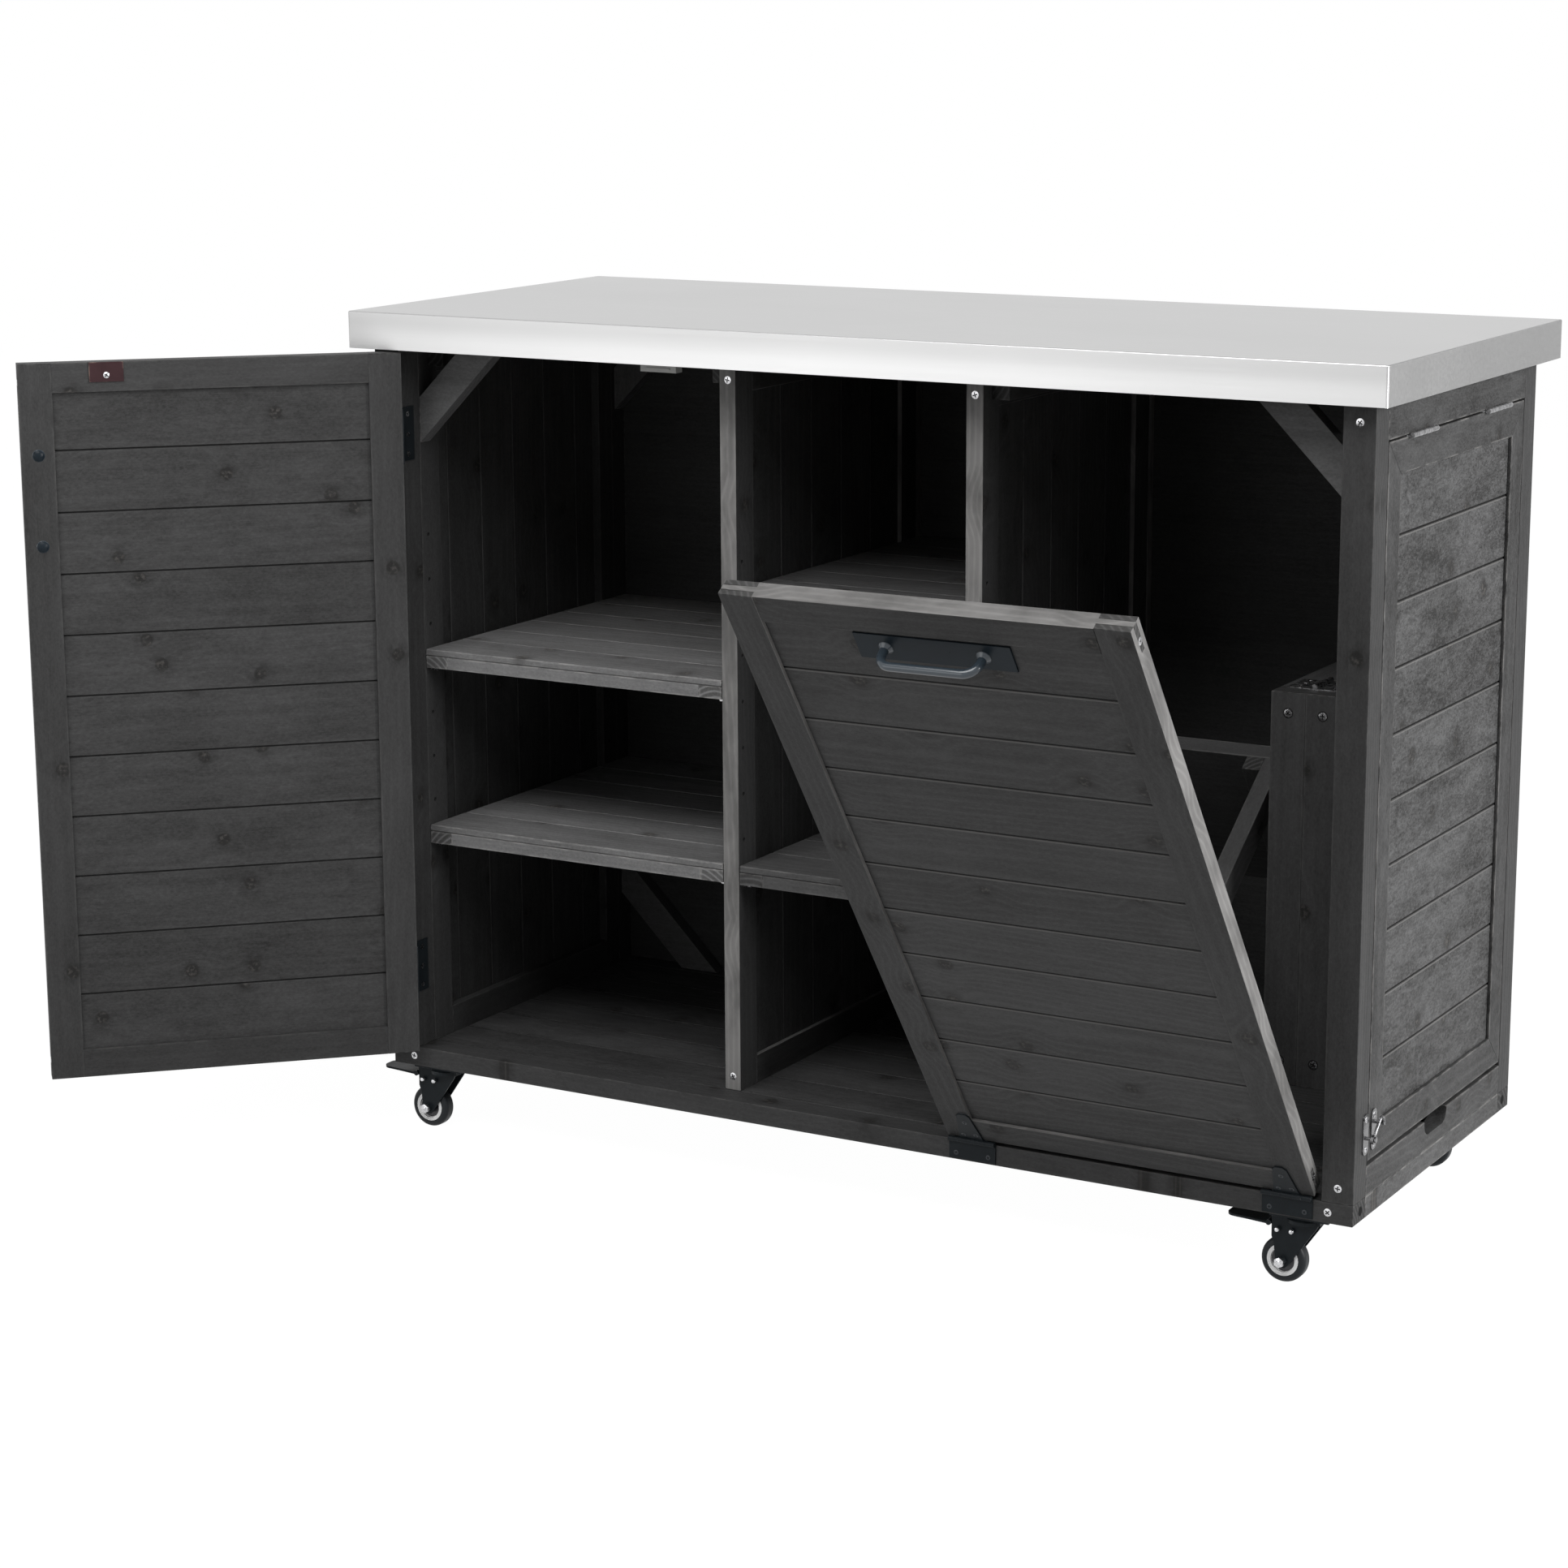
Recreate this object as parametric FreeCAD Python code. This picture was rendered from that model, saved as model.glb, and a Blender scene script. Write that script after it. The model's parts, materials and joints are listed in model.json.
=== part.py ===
# Grill cart with storage: a stained pine cabinet under a stainless worktop, on four swivel casters.
# Lengths are millimetres and angles are degrees. While the pieces are made, x runs to the right,
# y to the back and z up from the floor, from the point under the worktop's front left corner.
# At the end all pieces move together, so that the origin is the middle of the cart's footprint.
import FreeCAD, Part
import math
import os

V = FreeCAD.Vector

# Worktop
top_length = 1250
top_depth = 525
top_skirt = 42
skin_t = 1.2
skin_hem = 14
skin_bend = 2.5
core_t = 18

# Cabinet body
overhang_side = 19.5
overhang_front = 23
body_height = 827
post_w = 35
post_d = 35
base_t = 23
base_w = 35
deck_t = 12
bearer_w = 30
board_pitch = 70
cleat_w = 21
cleat_h = 25
back_t = 6
back_inset = 2

# Frames and boards
stile_w = 37
rail_h = 33
leaf_t = 20
board_t = 12
vee_depth = 1.5
groove = 5
wall_stile_t = 20
wall_board_t = 14
wall_board_recess = 11
wall_back_stile = 29
divider_t = 20
divider_board_t = 10
divider_batten = 14

# Bays, measured from the cabinet's left face
divider_left = 437.5
divider_right = 740.5

# Shelves
shelf_frame_h = 14
shelf_board_t = 8
shelf_batten = 29
shelf_gap = 1
pin_r = 2.4
pin_length = 18
pin_pitch = 52.5
pin_first = 239.5
pin_count = 8
pin_inset = 12
left_lower_row = 0
left_upper_row = 4
middle_lower_row = 0
middle_upper_row = 6

# Corner braces
brace_w = 37
brace_t = 20
front_brace_drop = 86
back_brace_drop = 92
bottom_brace_rise = 115

# Butt hinges
hinge_length = 62
hinge_leaf_t = 1.2
hinge_leaf_w = 26
knuckle_r = 3
hinge_pin_r = 1.6
knuckles = 5
barrel_clear = 0.2
fit = 0.05
knuckle_gap = 0.2
running_gap = 0.3
door_hinge_end = 65

# Left swing door
door_gap = 2.4
door_width = 426
door_open = 135.7
catch_inset = 74
striker_length = 38
striker_h = 22
striker_t = 1.5
striker_hole_up = 7.3

# Tilt-out door
tilt_reveal = 1.5
tilt_open = 35.5
tilt_edge_gap = 7
tee_plate_w = 56
tee_plate_h = 21
tee_plate_t = 2
tee_strap_wide = 30
tee_strap_narrow = 16
tee_neck_w = 33.6
tee_strap_length = 45
tee_inset = 30

# Waste rack on the tilt-out door
rack_inset = 108.5
rack_arm_w = 20
rack_arm_h = 30
rack_top = 260
rack_reach = 367
rack_board_t = 18
rack_board_h = 200
rack_post_d = 18

# Pull handles
handle_plate_length = 164
handle_plate_w = 32
handle_plate_t = 2
handle_spacing = 102
handle_bend = 14
handle_reach = 30
handle_rod_r = 4.5
handle_foot_r = 8
handle_foot_h = 4
bolt_head_r = 7
bolt_head_h = 3
tilt_handle_down = 54
door_handle_down = 153
door_handle_edge = 19

# Side flap
side_rail_h = 39
flap_gap = 2
flap_bottom = 38
side_board_h = 33
notch_w = 68
notch_depth = 17
notch_round = 13.6
flap_mitre = 36
flap_hinge_length = 72
flap_hinge_at = 113
flap_leaf_set_back = 2
flap_boards_count = 10

# Folding leg under the flap
leg_t = 38
leg_post_w = 30
leg_length = 420
leg_frame_depth = 358
leg_rail_h = 36
leg_batten_h = 38
leg_batten_up = 21
leg_batten_gap = 2
leg_hinge_inset = 24
leg_to_flap = 33
fold_plate_length = 46
fold_plate_w = 30

# Hook latch
latch_plate_w = 14
latch_plate_round = 6
latch_post_edge = 1
latch_stud_edge = 6
latch_plate_h = 44
latch_plate_t = 1.5
latch_above_flap_bottom = 10
latch_pivot_up = 18
latch_wire_r = 1.75
latch_stand = 8
latch_pivot_r = 3.2
latch_eye_r = 4
latch_eye_rim = 1
latch_tip = 4
latch_arch_r = 6
latch_stud_r = 2
latch_stud_up = 30

# Magnetic catch
catch_length = 46
catch_h = 13
catch_d = 13
pole_reach = 1
pole_t = 2
pole_up = 3
pole_pitch = 5

# Screws
screw_head_r = 4.5
screw_head_h = 2.5
screw_shank_r = 2
screw_length = 24
screw_sink = 0.5
screw_up_base = 16
screw_down_top = 18.5
screw_in_corner = 28

# Casters
caster_height = 79
caster_inset_x = 60
caster_inset_y = 23
caster_trail = 22
caster_plate_x = 66
caster_plate_y = 42
caster_plate_t = 2.5
caster_hole_r = 3
caster_hole_inset_x = 7
caster_hole_inset_y = 7
race_r = 20
race_h = 8
race_cup_h = 3
king_r = 5
king_head_r = 7
king_head_h = 3
fork_t = 2
fork_gap = 1
fork_web_t = 4
fork_tail = 4
fork_brake_tail = 14
fork_tip = 7
fork_tip_below_axle = 8
fork_waist = 9
fork_waist_above_axle = 18
fork_heel_above_axle = 26
rivet_r = 2.6
rivet_h = 1.2
rivet_spacing = 16
rivet_inset = 16
rivet_down = 9
wheel_r = 25
wheel_t = 17
hub_r = 17.5
axle_r = 3
nut_r = 5.5
nut_h = 4
hub_rim = 4
hub_dish = 3
hub_boss = 3
tyre_shoulder = 5
pedal_w = 26
pedal_t = 2.5
pedal_length = 48
pedal_barrel_r = 3
pedal_drop = 4
pedal_rise = 2
pedal_corner = 9

# Places that follow from the sizes above
body_x0 = overhang_side
body_x1 = top_length - overhang_side
body_y0 = overhang_front
body_y1 = top_depth - overhang_front
base_z = caster_height
deck_z = base_z + base_t
body_top = deck_z + body_height
top_z = body_top + top_skirt
core_z = top_z - skin_t - core_t
inner_x0 = body_x0 + post_w
inner_x1 = body_x1 - post_w
inner_y0 = body_y0 + post_d
inner_y1 = body_y1 - post_d
back_y1 = body_y1 - back_inset
back_y0 = back_y1 - back_t
left_div_x = body_x0 + divider_left
right_div_x = body_x0 + divider_right
door_height = body_height - 2 * door_gap
door_z0 = deck_z + door_gap
door_z1 = door_z0 + door_height


def box(x0, x1, y0, y1, z0, z1):
    return Part.makeBox(x1 - x0, y1 - y0, z1 - z0, V(x0, y0, z0))


def rod(start, direction, radius, length):
    return Part.makeCylinder(radius, length, V(*start), V(*direction))


def edges_along(shape, direction):
    # The straight edges of a shape that run along a direction
    axis = V(*direction)
    return [e for e in shape.Edges if abs(e.tangentAt(e.FirstParameter).dot(axis)) > 0.9]


def place(axis, along, first, second):
    # A point from its place along an axis and its two places across it, in x, y, z order
    if axis == "x":
        return V(along, first, second)
    if axis == "y":
        return V(first, along, second)
    return V(first, second, along)


def extruded(points, axis, start, end):
    corners = [place(axis, start, a, b) for a, b in points]
    face = Part.Face(Part.makePolygon(corners + [corners[0]]))
    return face.extrude(place(axis, end - start, 0, 0))


def vee_boards(count, stack, thick, run):
    # Boards side by side with V-shaped seams; each argument holds an axis, a start and an end
    stack_axis, s0, s1 = stack
    thick_axis, t0, t1 = thick
    run_axis, r0, r1 = run
    pitch = (s1 - s0) / count
    solids = []
    for i in range(count):
        a = s0 + i * pitch
        b = a + pitch
        points = [(a, t0 + vee_depth), (a + vee_depth, t0), (b - vee_depth, t0), (b, t0 + vee_depth),
                  (b, t1 - vee_depth), (b - vee_depth, t1), (a + vee_depth, t1), (a, t1 - vee_depth)]
        if stack_axis > thick_axis:
            points = [(t, s) for s, t in points]
        solids.append(extruded(points, run_axis, r0, r1))
    return solids


def board_count(span):
    return max(2, int(round(span / board_pitch)))


def bridle_frame(x0, x1, y0, y1, z0, z1):
    # Two stiles and two rails with open bridle joints, grooved for the boards
    third = (y1 - y0) / 3
    middle = (y0 + y1) / 2
    panel = box(x0 + stile_w - groove, x1 - stile_w + groove, middle - board_t / 2, middle + board_t / 2,
                z0 + rail_h - groove, z1 - rail_h + groove)
    solids = []
    for a in (x0, x1 - stile_w):
        stile = box(a, a + stile_w, y0, y1, z0, z1)
        for b in (z0, z1 - rail_h):
            stile = stile.cut(box(a, a + stile_w, y0 + third, y1 - third, b, b + rail_h))
        solids.append(stile.cut(panel))
    for b in (z0, z1 - rail_h):
        rail = box(x0 + stile_w, x1 - stile_w, y0, y1, b, b + rail_h)
        tongue = box(x0, x1, y0 + third, y1 - third, b, b + rail_h)
        solids.append(rail.fuse(tongue).cut(panel).removeSplitter())
    return solids


def door_boards(x0, x1, y0, y1, z0, z1):
    middle = (y0 + y1) / 2
    low = z0 + rail_h - groove
    high = z1 - rail_h + groove
    return vee_boards(board_count(high - low), ("z", low, high),
                      ("y", middle - board_t / 2, middle + board_t / 2),
                      ("x", x0 + stile_w - groove, x1 - stile_w + groove))


def turned(solids, centre, axis, angle):
    for solid in solids:
        solid.rotate(V(*centre), V(*axis), angle)
    return solids


def worktop_skin():
    # A folded sheet tray with rounded vertical corners and a hem turned in under the skirt
    low = top_z - top_skirt
    outer = box(0, top_length, 0, top_depth, low, top_z)
    outer = outer.makeFillet(skin_bend, edges_along(outer, (0, 0, 1)))
    inner = box(skin_t, top_length - skin_t, skin_t, top_depth - skin_t, low + skin_t, top_z - skin_t)
    mouth = box(skin_hem, top_length - skin_hem, skin_hem, top_depth - skin_hem, low, low + skin_t)
    return [outer.cut(inner).cut(mouth)]


def worktop_core():
    return [box(skin_t, top_length - skin_t, skin_t, top_depth - skin_t, core_z, core_z + core_t)]


def top_frame():
    # Rails inside the skirt that carry the core, and the cleats under them that hold the walls
    solids = []
    for y in (body_y0, body_y1 - post_d):
        solids.append(box(body_x0, body_x1, y, y + post_d, body_top, core_z))
    for x in (body_x0, body_x1 - post_w):
        solids.append(box(x, x + post_w, inner_y0, inner_y1, body_top, core_z))
    for x in (left_div_x, right_div_x):
        solids.append(box(x, x + divider_t, inner_y0, inner_y1, body_top, core_z))
    for x in (inner_x0, left_div_x - cleat_w, right_div_x + divider_t, inner_x1 - cleat_w):
        solids.append(box(x, x + cleat_w, inner_y0 + brace_t, inner_y1, body_top - cleat_h, body_top))
    return solids


def base_frame():
    # Ring of flat rails and the bearers under the deck boards
    solids = []
    for y in (body_y0, body_y1 - base_w):
        solids.append(box(body_x0, body_x1, y, y + base_w, base_z, deck_z))
    for x in (body_x0, body_x1 - base_w):
        solids.append(box(x, x + base_w, body_y0 + base_w, body_y1 - base_w, base_z, deck_z))
    bearer_top = deck_z - deck_t
    places = (body_x0 + base_w, left_div_x + divider_t / 2 - bearer_w / 2,
              right_div_x + divider_t / 2 - bearer_w / 2, body_x1 - base_w - bearer_w)
    for x in places:
        solids.append(box(x, x + bearer_w, body_y0 + base_w, body_y1 - base_w, base_z, bearer_top))
    return solids


def deck_boards():
    depth = body_y1 - body_y0 - 2 * base_w
    return vee_boards(board_count(depth), ("y", body_y0 + base_w, body_y1 - base_w),
                      ("z", deck_z - deck_t, deck_z), ("x", body_x0 + base_w, body_x1 - base_w))


def post(x, y):
    return [box(x, x + post_w, y, y + post_d, deck_z, body_top)]


def brace(x, side, z, rise, y, reach):
    # A bar at 45 degrees between an upright face at x and a level face at z
    half = brace_w / math.sqrt(2)
    points = [(x, z + rise * (reach - half)), (x, z + rise * (reach + half)),
              (x + side * (reach + half), z), (x + side * (reach - half), z)]
    return extruded(points, "y", y, y + brace_t)


def corner_braces():
    top = body_top
    solids = []
    for x, side in ((inner_x0, 1), (inner_x1, -1)):
        solids.append(brace(x, side, top, -1, inner_y0, front_brace_drop))
        solids.append(brace(x, side, top, -1, back_y0 - brace_t, back_brace_drop))
        solids.append(brace(x, side, deck_z, 1, back_y0 - brace_t, bottom_brace_rise))
    return solids


def pin_heights():
    return [deck_z + pin_first + i * pin_pitch for i in range(pin_count)]


def drilled(solid, x0, x1, y):
    for z in pin_heights():
        solid = solid.cut(rod((x0, y, z), (1, 0, 0), pin_r + fit, x1 - x0))
    return solid


def wall_pin_rows():
    # Front and back rows of shelf pin holes
    return (inner_y0 + pin_inset, inner_y1 - wall_back_stile + pin_inset)


def left_side_frame():
    x0 = inner_x0 - wall_stile_t
    solids = []
    front = box(x0, inner_x0, inner_y0, inner_y0 + stile_w, deck_z, body_top)
    back = box(x0, inner_x0, inner_y1 - wall_back_stile, inner_y1, deck_z, body_top)
    boards_x = inner_x0 - wall_board_recess
    boards = box(boards_x - wall_board_t, boards_x, inner_y0, inner_y1, deck_z, body_top)
    for stile, y in zip((front, back), wall_pin_rows()):
        solids.append(drilled(stile.cut(boards), boards_x, inner_x0, y))
    y0 = inner_y0 + stile_w
    y1 = inner_y1 - wall_back_stile
    solids.append(box(boards_x, inner_x0, y0, y1, deck_z, deck_z + rail_h))
    solids.append(box(boards_x, inner_x0, y0, y1, body_top - rail_h, body_top - cleat_h))
    return [piece for solid in solids for piece in solid.Solids]


def left_side_boards():
    x1 = inner_x0 - wall_board_recess
    return vee_boards(board_count(inner_y1 - inner_y0), ("y", inner_y0, inner_y1),
                      ("x", x1 - wall_board_t, x1), ("z", deck_z, body_top))


def back_panel():
    return [box(inner_x0, inner_x1, back_y0, back_y1, deck_z, body_top)]


def upper_side_rail():
    return [box(body_x1 - leaf_t, body_x1, inner_y0, inner_y1, body_top - side_rail_h, body_top)]


def lower_side_board():
    # The fixed board under the flap, with a finger notch in its top edge
    z1 = deck_z + side_board_h
    y = (inner_y0 + inner_y1) / 2
    board = box(body_x1 - leaf_t, body_x1, inner_y0, inner_y1, deck_z, z1)
    notch = box(body_x1 - leaf_t, body_x1, y - notch_w / 2, y + notch_w / 2,
                z1 - notch_depth, z1 + notch_round)
    low = [e for e in edges_along(notch, (1, 0, 0)) if e.CenterOfMass.z < z1]
    return [board.cut(notch.makeFillet(notch_round, low))]


def divider_frame(x):
    # Front and back stiles, two rails and the batten that holds the back panel
    x1 = x + divider_t
    stiles_y = (inner_y0, back_y0 - divider_batten - stile_w)
    rail_y0 = inner_y0 + stile_w
    solids = []
    for y in stiles_y:
        stile = box(x, x1, y, y + stile_w, deck_z, body_top)
        solids.append(drilled(stile, x, x1, y + pin_inset))
    for z in (deck_z, body_top - rail_h):
        solids.append(box(x, x1, rail_y0, stiles_y[1], z, z + rail_h))
    solids.append(box(x, x1, back_y0 - divider_batten, back_y0, deck_z, body_top))
    return solids


def divider_boards(x):
    middle = x + divider_t / 2
    y0 = inner_y0 + stile_w
    y1 = back_y0 - divider_batten - stile_w
    return vee_boards(board_count(y1 - y0), ("y", y0, y1),
                      ("x", middle - divider_board_t / 2, middle + divider_board_t / 2),
                      ("z", deck_z + rail_h, body_top - rail_h))


def shelf(x0, x1, row):
    # Four battens in a ring under thin boards, lying on the pins of one row
    bottom = pin_heights()[row] + pin_r
    a = x0 + shelf_gap
    b = x1 - shelf_gap
    y0 = inner_y0
    y1 = back_y0 - shelf_gap
    top = bottom + shelf_frame_h
    solids = [box(a, a + shelf_batten, y0, y1, bottom, top),
              box(b - shelf_batten, b, y0, y1, bottom, top)]
    for y in (y0, y1 - shelf_batten):
        solids.append(box(a + shelf_batten, b - shelf_batten, y, y + shelf_batten, bottom, top))
    return solids + vee_boards(board_count(y1 - y0), ("y", y0, y1),
                               ("z", top, top + shelf_board_t), ("x", a, b))


def shelf_pins():
    heights = pin_heights()
    half = pin_length / 2
    divider_rows = (inner_y0 + pin_inset, back_y0 - divider_batten - stile_w + pin_inset)
    bays = ((inner_x0, left_div_x, wall_pin_rows(), (left_lower_row, left_upper_row)),
            (left_div_x + divider_t, right_div_x, divider_rows, (middle_lower_row, middle_upper_row)))
    solids = []
    for x0, x1, left_rows, rows in bays:
        for row in rows:
            for y in left_rows:
                solids.append(rod((x0 - half, y, heights[row]), (1, 0, 0), pin_r, pin_length))
            for y in divider_rows:
                solids.append(rod((x1 - half, y, heights[row]), (1, 0, 0), pin_r, pin_length))
    return solids


def ahead(start, axis, distance):
    return tuple(s + a * distance for s, a in zip(start, axis))


def knuckle_spans(length, fixed):
    # The knuckles in turn: three on the fixed leaf and two on the moving one
    step = length / knuckles
    return [(i * step, (i + 1) * step - knuckle_gap) for i in range(knuckles) if (i % 2 == 0) == fixed]


def hinge_half(start, axis, length, leaf, fixed):
    # A leaf with its knuckles; the fixed half also holds the pin
    shape = leaf
    for a, b in knuckle_spans(length, not fixed):
        room = b - a + 2 * knuckle_gap
        shape = shape.cut(rod(ahead(start, axis, a - knuckle_gap), axis, knuckle_r + running_gap, room))
    for a, b in knuckle_spans(length, fixed):
        shape = shape.fuse(rod(ahead(start, axis, a), axis, knuckle_r, b - a))
    bore = hinge_pin_r if fixed else hinge_pin_r + fit
    shape = shape.removeSplitter().cut(rod(start, axis, bore, length))
    solids = list(shape.Solids)
    if fixed:
        solids.append(rod(start, axis, hinge_pin_r, length - knuckle_gap))
    return solids


def door_pin():
    return (inner_x0 + door_gap / 2, body_y0 - knuckle_r - barrel_clear)


def door_hinge_heights():
    return (door_z0 + door_hinge_end, door_z1 - door_hinge_end - hinge_length)


def left_door_hinges(fixed):
    x, y = door_pin()
    solids = []
    for z in door_hinge_heights():
        if fixed:
            leaf = box(inner_x0, x - fit, y, y + hinge_leaf_w, z, z + hinge_length)
        else:
            leaf = box(x + fit, inner_x0 + door_gap, y, body_y0 + leaf_t, z, z + hinge_length)
        solids += hinge_half((x, y, z), (0, 0, 1), hinge_length, leaf, fixed)
    return solids


def left_door_x():
    return (inner_x0 + door_gap, inner_x0 + door_gap + door_width)


def left_door_frame():
    x0, x1 = left_door_x()
    return bridle_frame(x0, x1, body_y0, body_y0 + leaf_t, door_z0, door_z1)


def left_door_boards():
    x0, x1 = left_door_x()
    return door_boards(x0, x1, body_y0, body_y0 + leaf_t, door_z0, door_z1)


def catch_x():
    return left_door_x()[1] - catch_inset - catch_length / 2


def striker_plate():
    x = catch_x() - striker_length / 2
    y = body_y0 + leaf_t
    z = door_z1 - striker_h
    plate = box(x, x + striker_length, y, y + striker_t, z, door_z1)
    return [plate.cut(rod((catch_x(), y, z + striker_hole_up), (0, 1, 0), screw_shank_r, striker_t))]


def magnetic_catch():
    # A case under the front rail with two pole strips that reach the striker
    y = body_y0 + leaf_t + striker_t + running_gap
    case_y = y + pole_reach
    x = catch_x()
    z = body_top - catch_h
    solids = [box(x - catch_length / 2, x + catch_length / 2, case_y, case_y + catch_d, z, body_top)]
    for pole_z in (z + pole_up, z + pole_up + pole_pitch):
        solids.append(box(x - catch_length / 3, x + catch_length / 3, y, case_y, pole_z, pole_z + pole_t))
    return solids


def handle_solids():
    # A pull handle lying along x, with its plate on the plane z = 0 and its grip above it
    half = handle_spacing / 2
    rise = handle_reach - handle_rod_r
    bend = handle_bend
    slant = bend * math.sqrt(0.5)
    start = V(-half, 0, handle_plate_t)
    left = V(-half, 0, rise - bend)
    right = V(half, 0, rise - bend)
    grip_left = V(-half + bend, 0, rise)
    grip_right = V(half - bend, 0, rise)
    turn_left = V(-half + bend - slant, 0, rise - bend + slant)
    turn_right = V(half - bend + slant, 0, rise - bend + slant)
    path = [Part.LineSegment(start, left).toShape(),
            Part.Arc(left, turn_left, grip_left).toShape(),
            Part.LineSegment(grip_left, grip_right).toShape(),
            Part.Arc(grip_right, turn_right, right).toShape(),
            Part.LineSegment(right, V(half, 0, handle_plate_t)).toShape()]
    ring = Part.Wire(Part.makeCircle(handle_rod_r, start, V(0, 0, 1)))
    shape = Part.Wire(path).makePipeShell([ring], True, False)
    plate = box(-handle_plate_length / 2, handle_plate_length / 2, -handle_plate_w / 2, handle_plate_w / 2,
                0, handle_plate_t)
    shape = shape.fuse(plate)
    for x in (-half, half):
        foot = Part.makeCone(handle_foot_r, handle_rod_r, handle_foot_h, V(x, 0, handle_plate_t), V(0, 0, 1))
        shape = shape.fuse(foot)
    return shape.removeSplitter().Solids


def dome_bolts(x, y, heights):
    # Domed heads on the inner face of a door, where the handle's bolts come through
    solids = []
    sphere_r = (bolt_head_r ** 2 + bolt_head_h ** 2) / (2 * bolt_head_h)
    for z in heights:
        ball = Part.makeSphere(sphere_r, V(x, y + bolt_head_h - sphere_r, z))
        room = box(x - bolt_head_r, x + bolt_head_r, y, y + sphere_r, z - bolt_head_r, z + bolt_head_r)
        solids.append(ball.common(room))
    return solids


def left_door_handle():
    # Upright on the outer face of the free stile
    x = left_door_x()[1] - door_handle_edge
    z = door_z1 - door_handle_down
    solids = handle_solids()
    turned(solids, (0, 0, 0), (0, 1, 0), 90)
    turned(solids, (0, 0, 0), (0, 0, 1), -90)
    for solid in solids:
        solid.translate(V(x, body_y0, z))
    half = handle_spacing / 2
    return solids + dome_bolts(x, body_y0 + leaf_t, (z - half, z + half))


def tilt_x():
    # The door covers the right divider's front edge but for a narrow line
    return (right_div_x + tilt_reveal, inner_x1 - tilt_edge_gap)


def tilt_pin():
    return (body_y0 - knuckle_r - barrel_clear, deck_z + door_gap / 2)


def tilt_door_frame():
    x0, x1 = tilt_x()
    return bridle_frame(x0, x1, body_y0, body_y0 + leaf_t, door_z0, door_z1)


def tilt_door_boards():
    x0, x1 = tilt_x()
    return door_boards(x0, x1, body_y0, body_y0 + leaf_t, door_z0, door_z1)


def tilt_door_handle():
    x = (tilt_x()[0] + tilt_x()[1]) / 2
    solids = turned(handle_solids(), (0, 0, 0), (1, 0, 0), 90)
    recess = (leaf_t - board_t) / 2
    for solid in solids:
        solid.translate(V(x, body_y0 + recess, door_z1 - tilt_handle_down))
    return solids


def tee_centres():
    x0, x1 = tilt_x()
    return (x0 + tee_inset, x1 - tee_inset)


def tilt_hinge_plates():
    # The fixed halves of the two T hinges, on the front of the base rail
    y, z = tilt_pin()
    solids = []
    for x in tee_centres():
        a = x - tee_plate_w / 2
        plate = box(a, a + tee_plate_w, body_y0 - tee_plate_t, body_y0, deck_z - tee_plate_h, deck_z)
        neck = box(a, a + tee_plate_w, y, body_y0, deck_z - tee_plate_t, z)
        solids += hinge_half((a, y, z), (1, 0, 0), tee_plate_w, plate.fuse(neck), True)
    return solids


def tilt_hinge_straps():
    # The tapered straps on the outer face of the tilt-out door
    y, z = tilt_pin()
    solids = []
    for x in tee_centres():
        a = x - tee_plate_w / 2
        low = z
        high = z + tee_strap_length
        wide = tee_strap_wide / 2
        narrow = tee_strap_narrow / 2
        cut = narrow / 2
        points = [(x - wide, low), (x + wide, low), (x + narrow, high - cut), (x + cut, high),
                  (x - cut, high), (x - narrow, high - cut)]
        strap = extruded(points, "y", body_y0 - tee_plate_t, body_y0)
        neck = box(x - tee_neck_w / 2, x + tee_neck_w / 2, y, body_y0, z + fit, z + tee_plate_t)
        solids += hinge_half((a, y, z), (1, 0, 0), tee_plate_w, strap.fuse(neck), False)
    return solids


def rack_x():
    x0, x1 = tilt_x()
    return (x0 + rack_inset, x1 - rack_inset)


def waste_rack():
    # Arms, corner posts and back board that hold a waste bin behind the door
    x0, x1 = rack_x()
    y0 = body_y0 + (leaf_t + board_t) / 2
    rail_y = y0 + rack_arm_w
    y1 = body_y0 + rack_reach
    z1 = deck_z + rack_top
    solids = [box(x0, x1, y0, rail_y, z1 - rack_arm_h, z1)]
    for x in (x0, x1 - rack_arm_w):
        solids.append(box(x, x + rack_arm_w, rail_y, y1, z1 - rack_arm_h, z1))
    for x in (x0 + rack_arm_w, x1 - 2 * rack_arm_w):
        solids.append(box(x, x + rack_arm_w, y1 - rack_post_d, y1, z1 - rack_board_h, z1))
    return solids


def waste_rack_board():
    x0, x1 = rack_x()
    y = body_y0 + rack_reach
    z1 = deck_z + rack_top
    return [box(x0, x1, y, y + rack_board_t, z1 - rack_board_h, z1)]


def flap_box():
    # Left to right edges and height of the side flap
    return (inner_y0 + flap_gap, inner_y1 - flap_gap, deck_z + flap_bottom, body_top - side_rail_h - flap_gap)


def flap_pin():
    z = body_top - side_rail_h - flap_gap / 2
    return (body_x1 + knuckle_r + barrel_clear, z)


def flap_frame():
    # Four mitred pieces grooved for the boards, and the batten that carries the leg
    y0, y1, z0, z1 = flap_box()
    x0 = body_x1 - leaf_t
    w = flap_mitre
    middle = x0 + leaf_t / 2
    panel = box(middle - board_t / 2, middle + board_t / 2, y0 + w - groove, y1 - w + groove,
                z0 + w - groove, z1 - w + groove)
    outer = [(y0, z0), (y1, z0), (y1, z1), (y0, z1)]
    inner = [(y0 + w, z0 + w), (y1 - w, z0 + w), (y1 - w, z1 - w), (y0 + w, z1 - w)]
    solids = []
    for i in range(4):
        j = (i + 1) % 4
        piece = extruded([outer[i], outer[j], inner[j], inner[i]], "x", x0, body_x1)
        solids.append(piece.cut(panel))
    return solids


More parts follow.
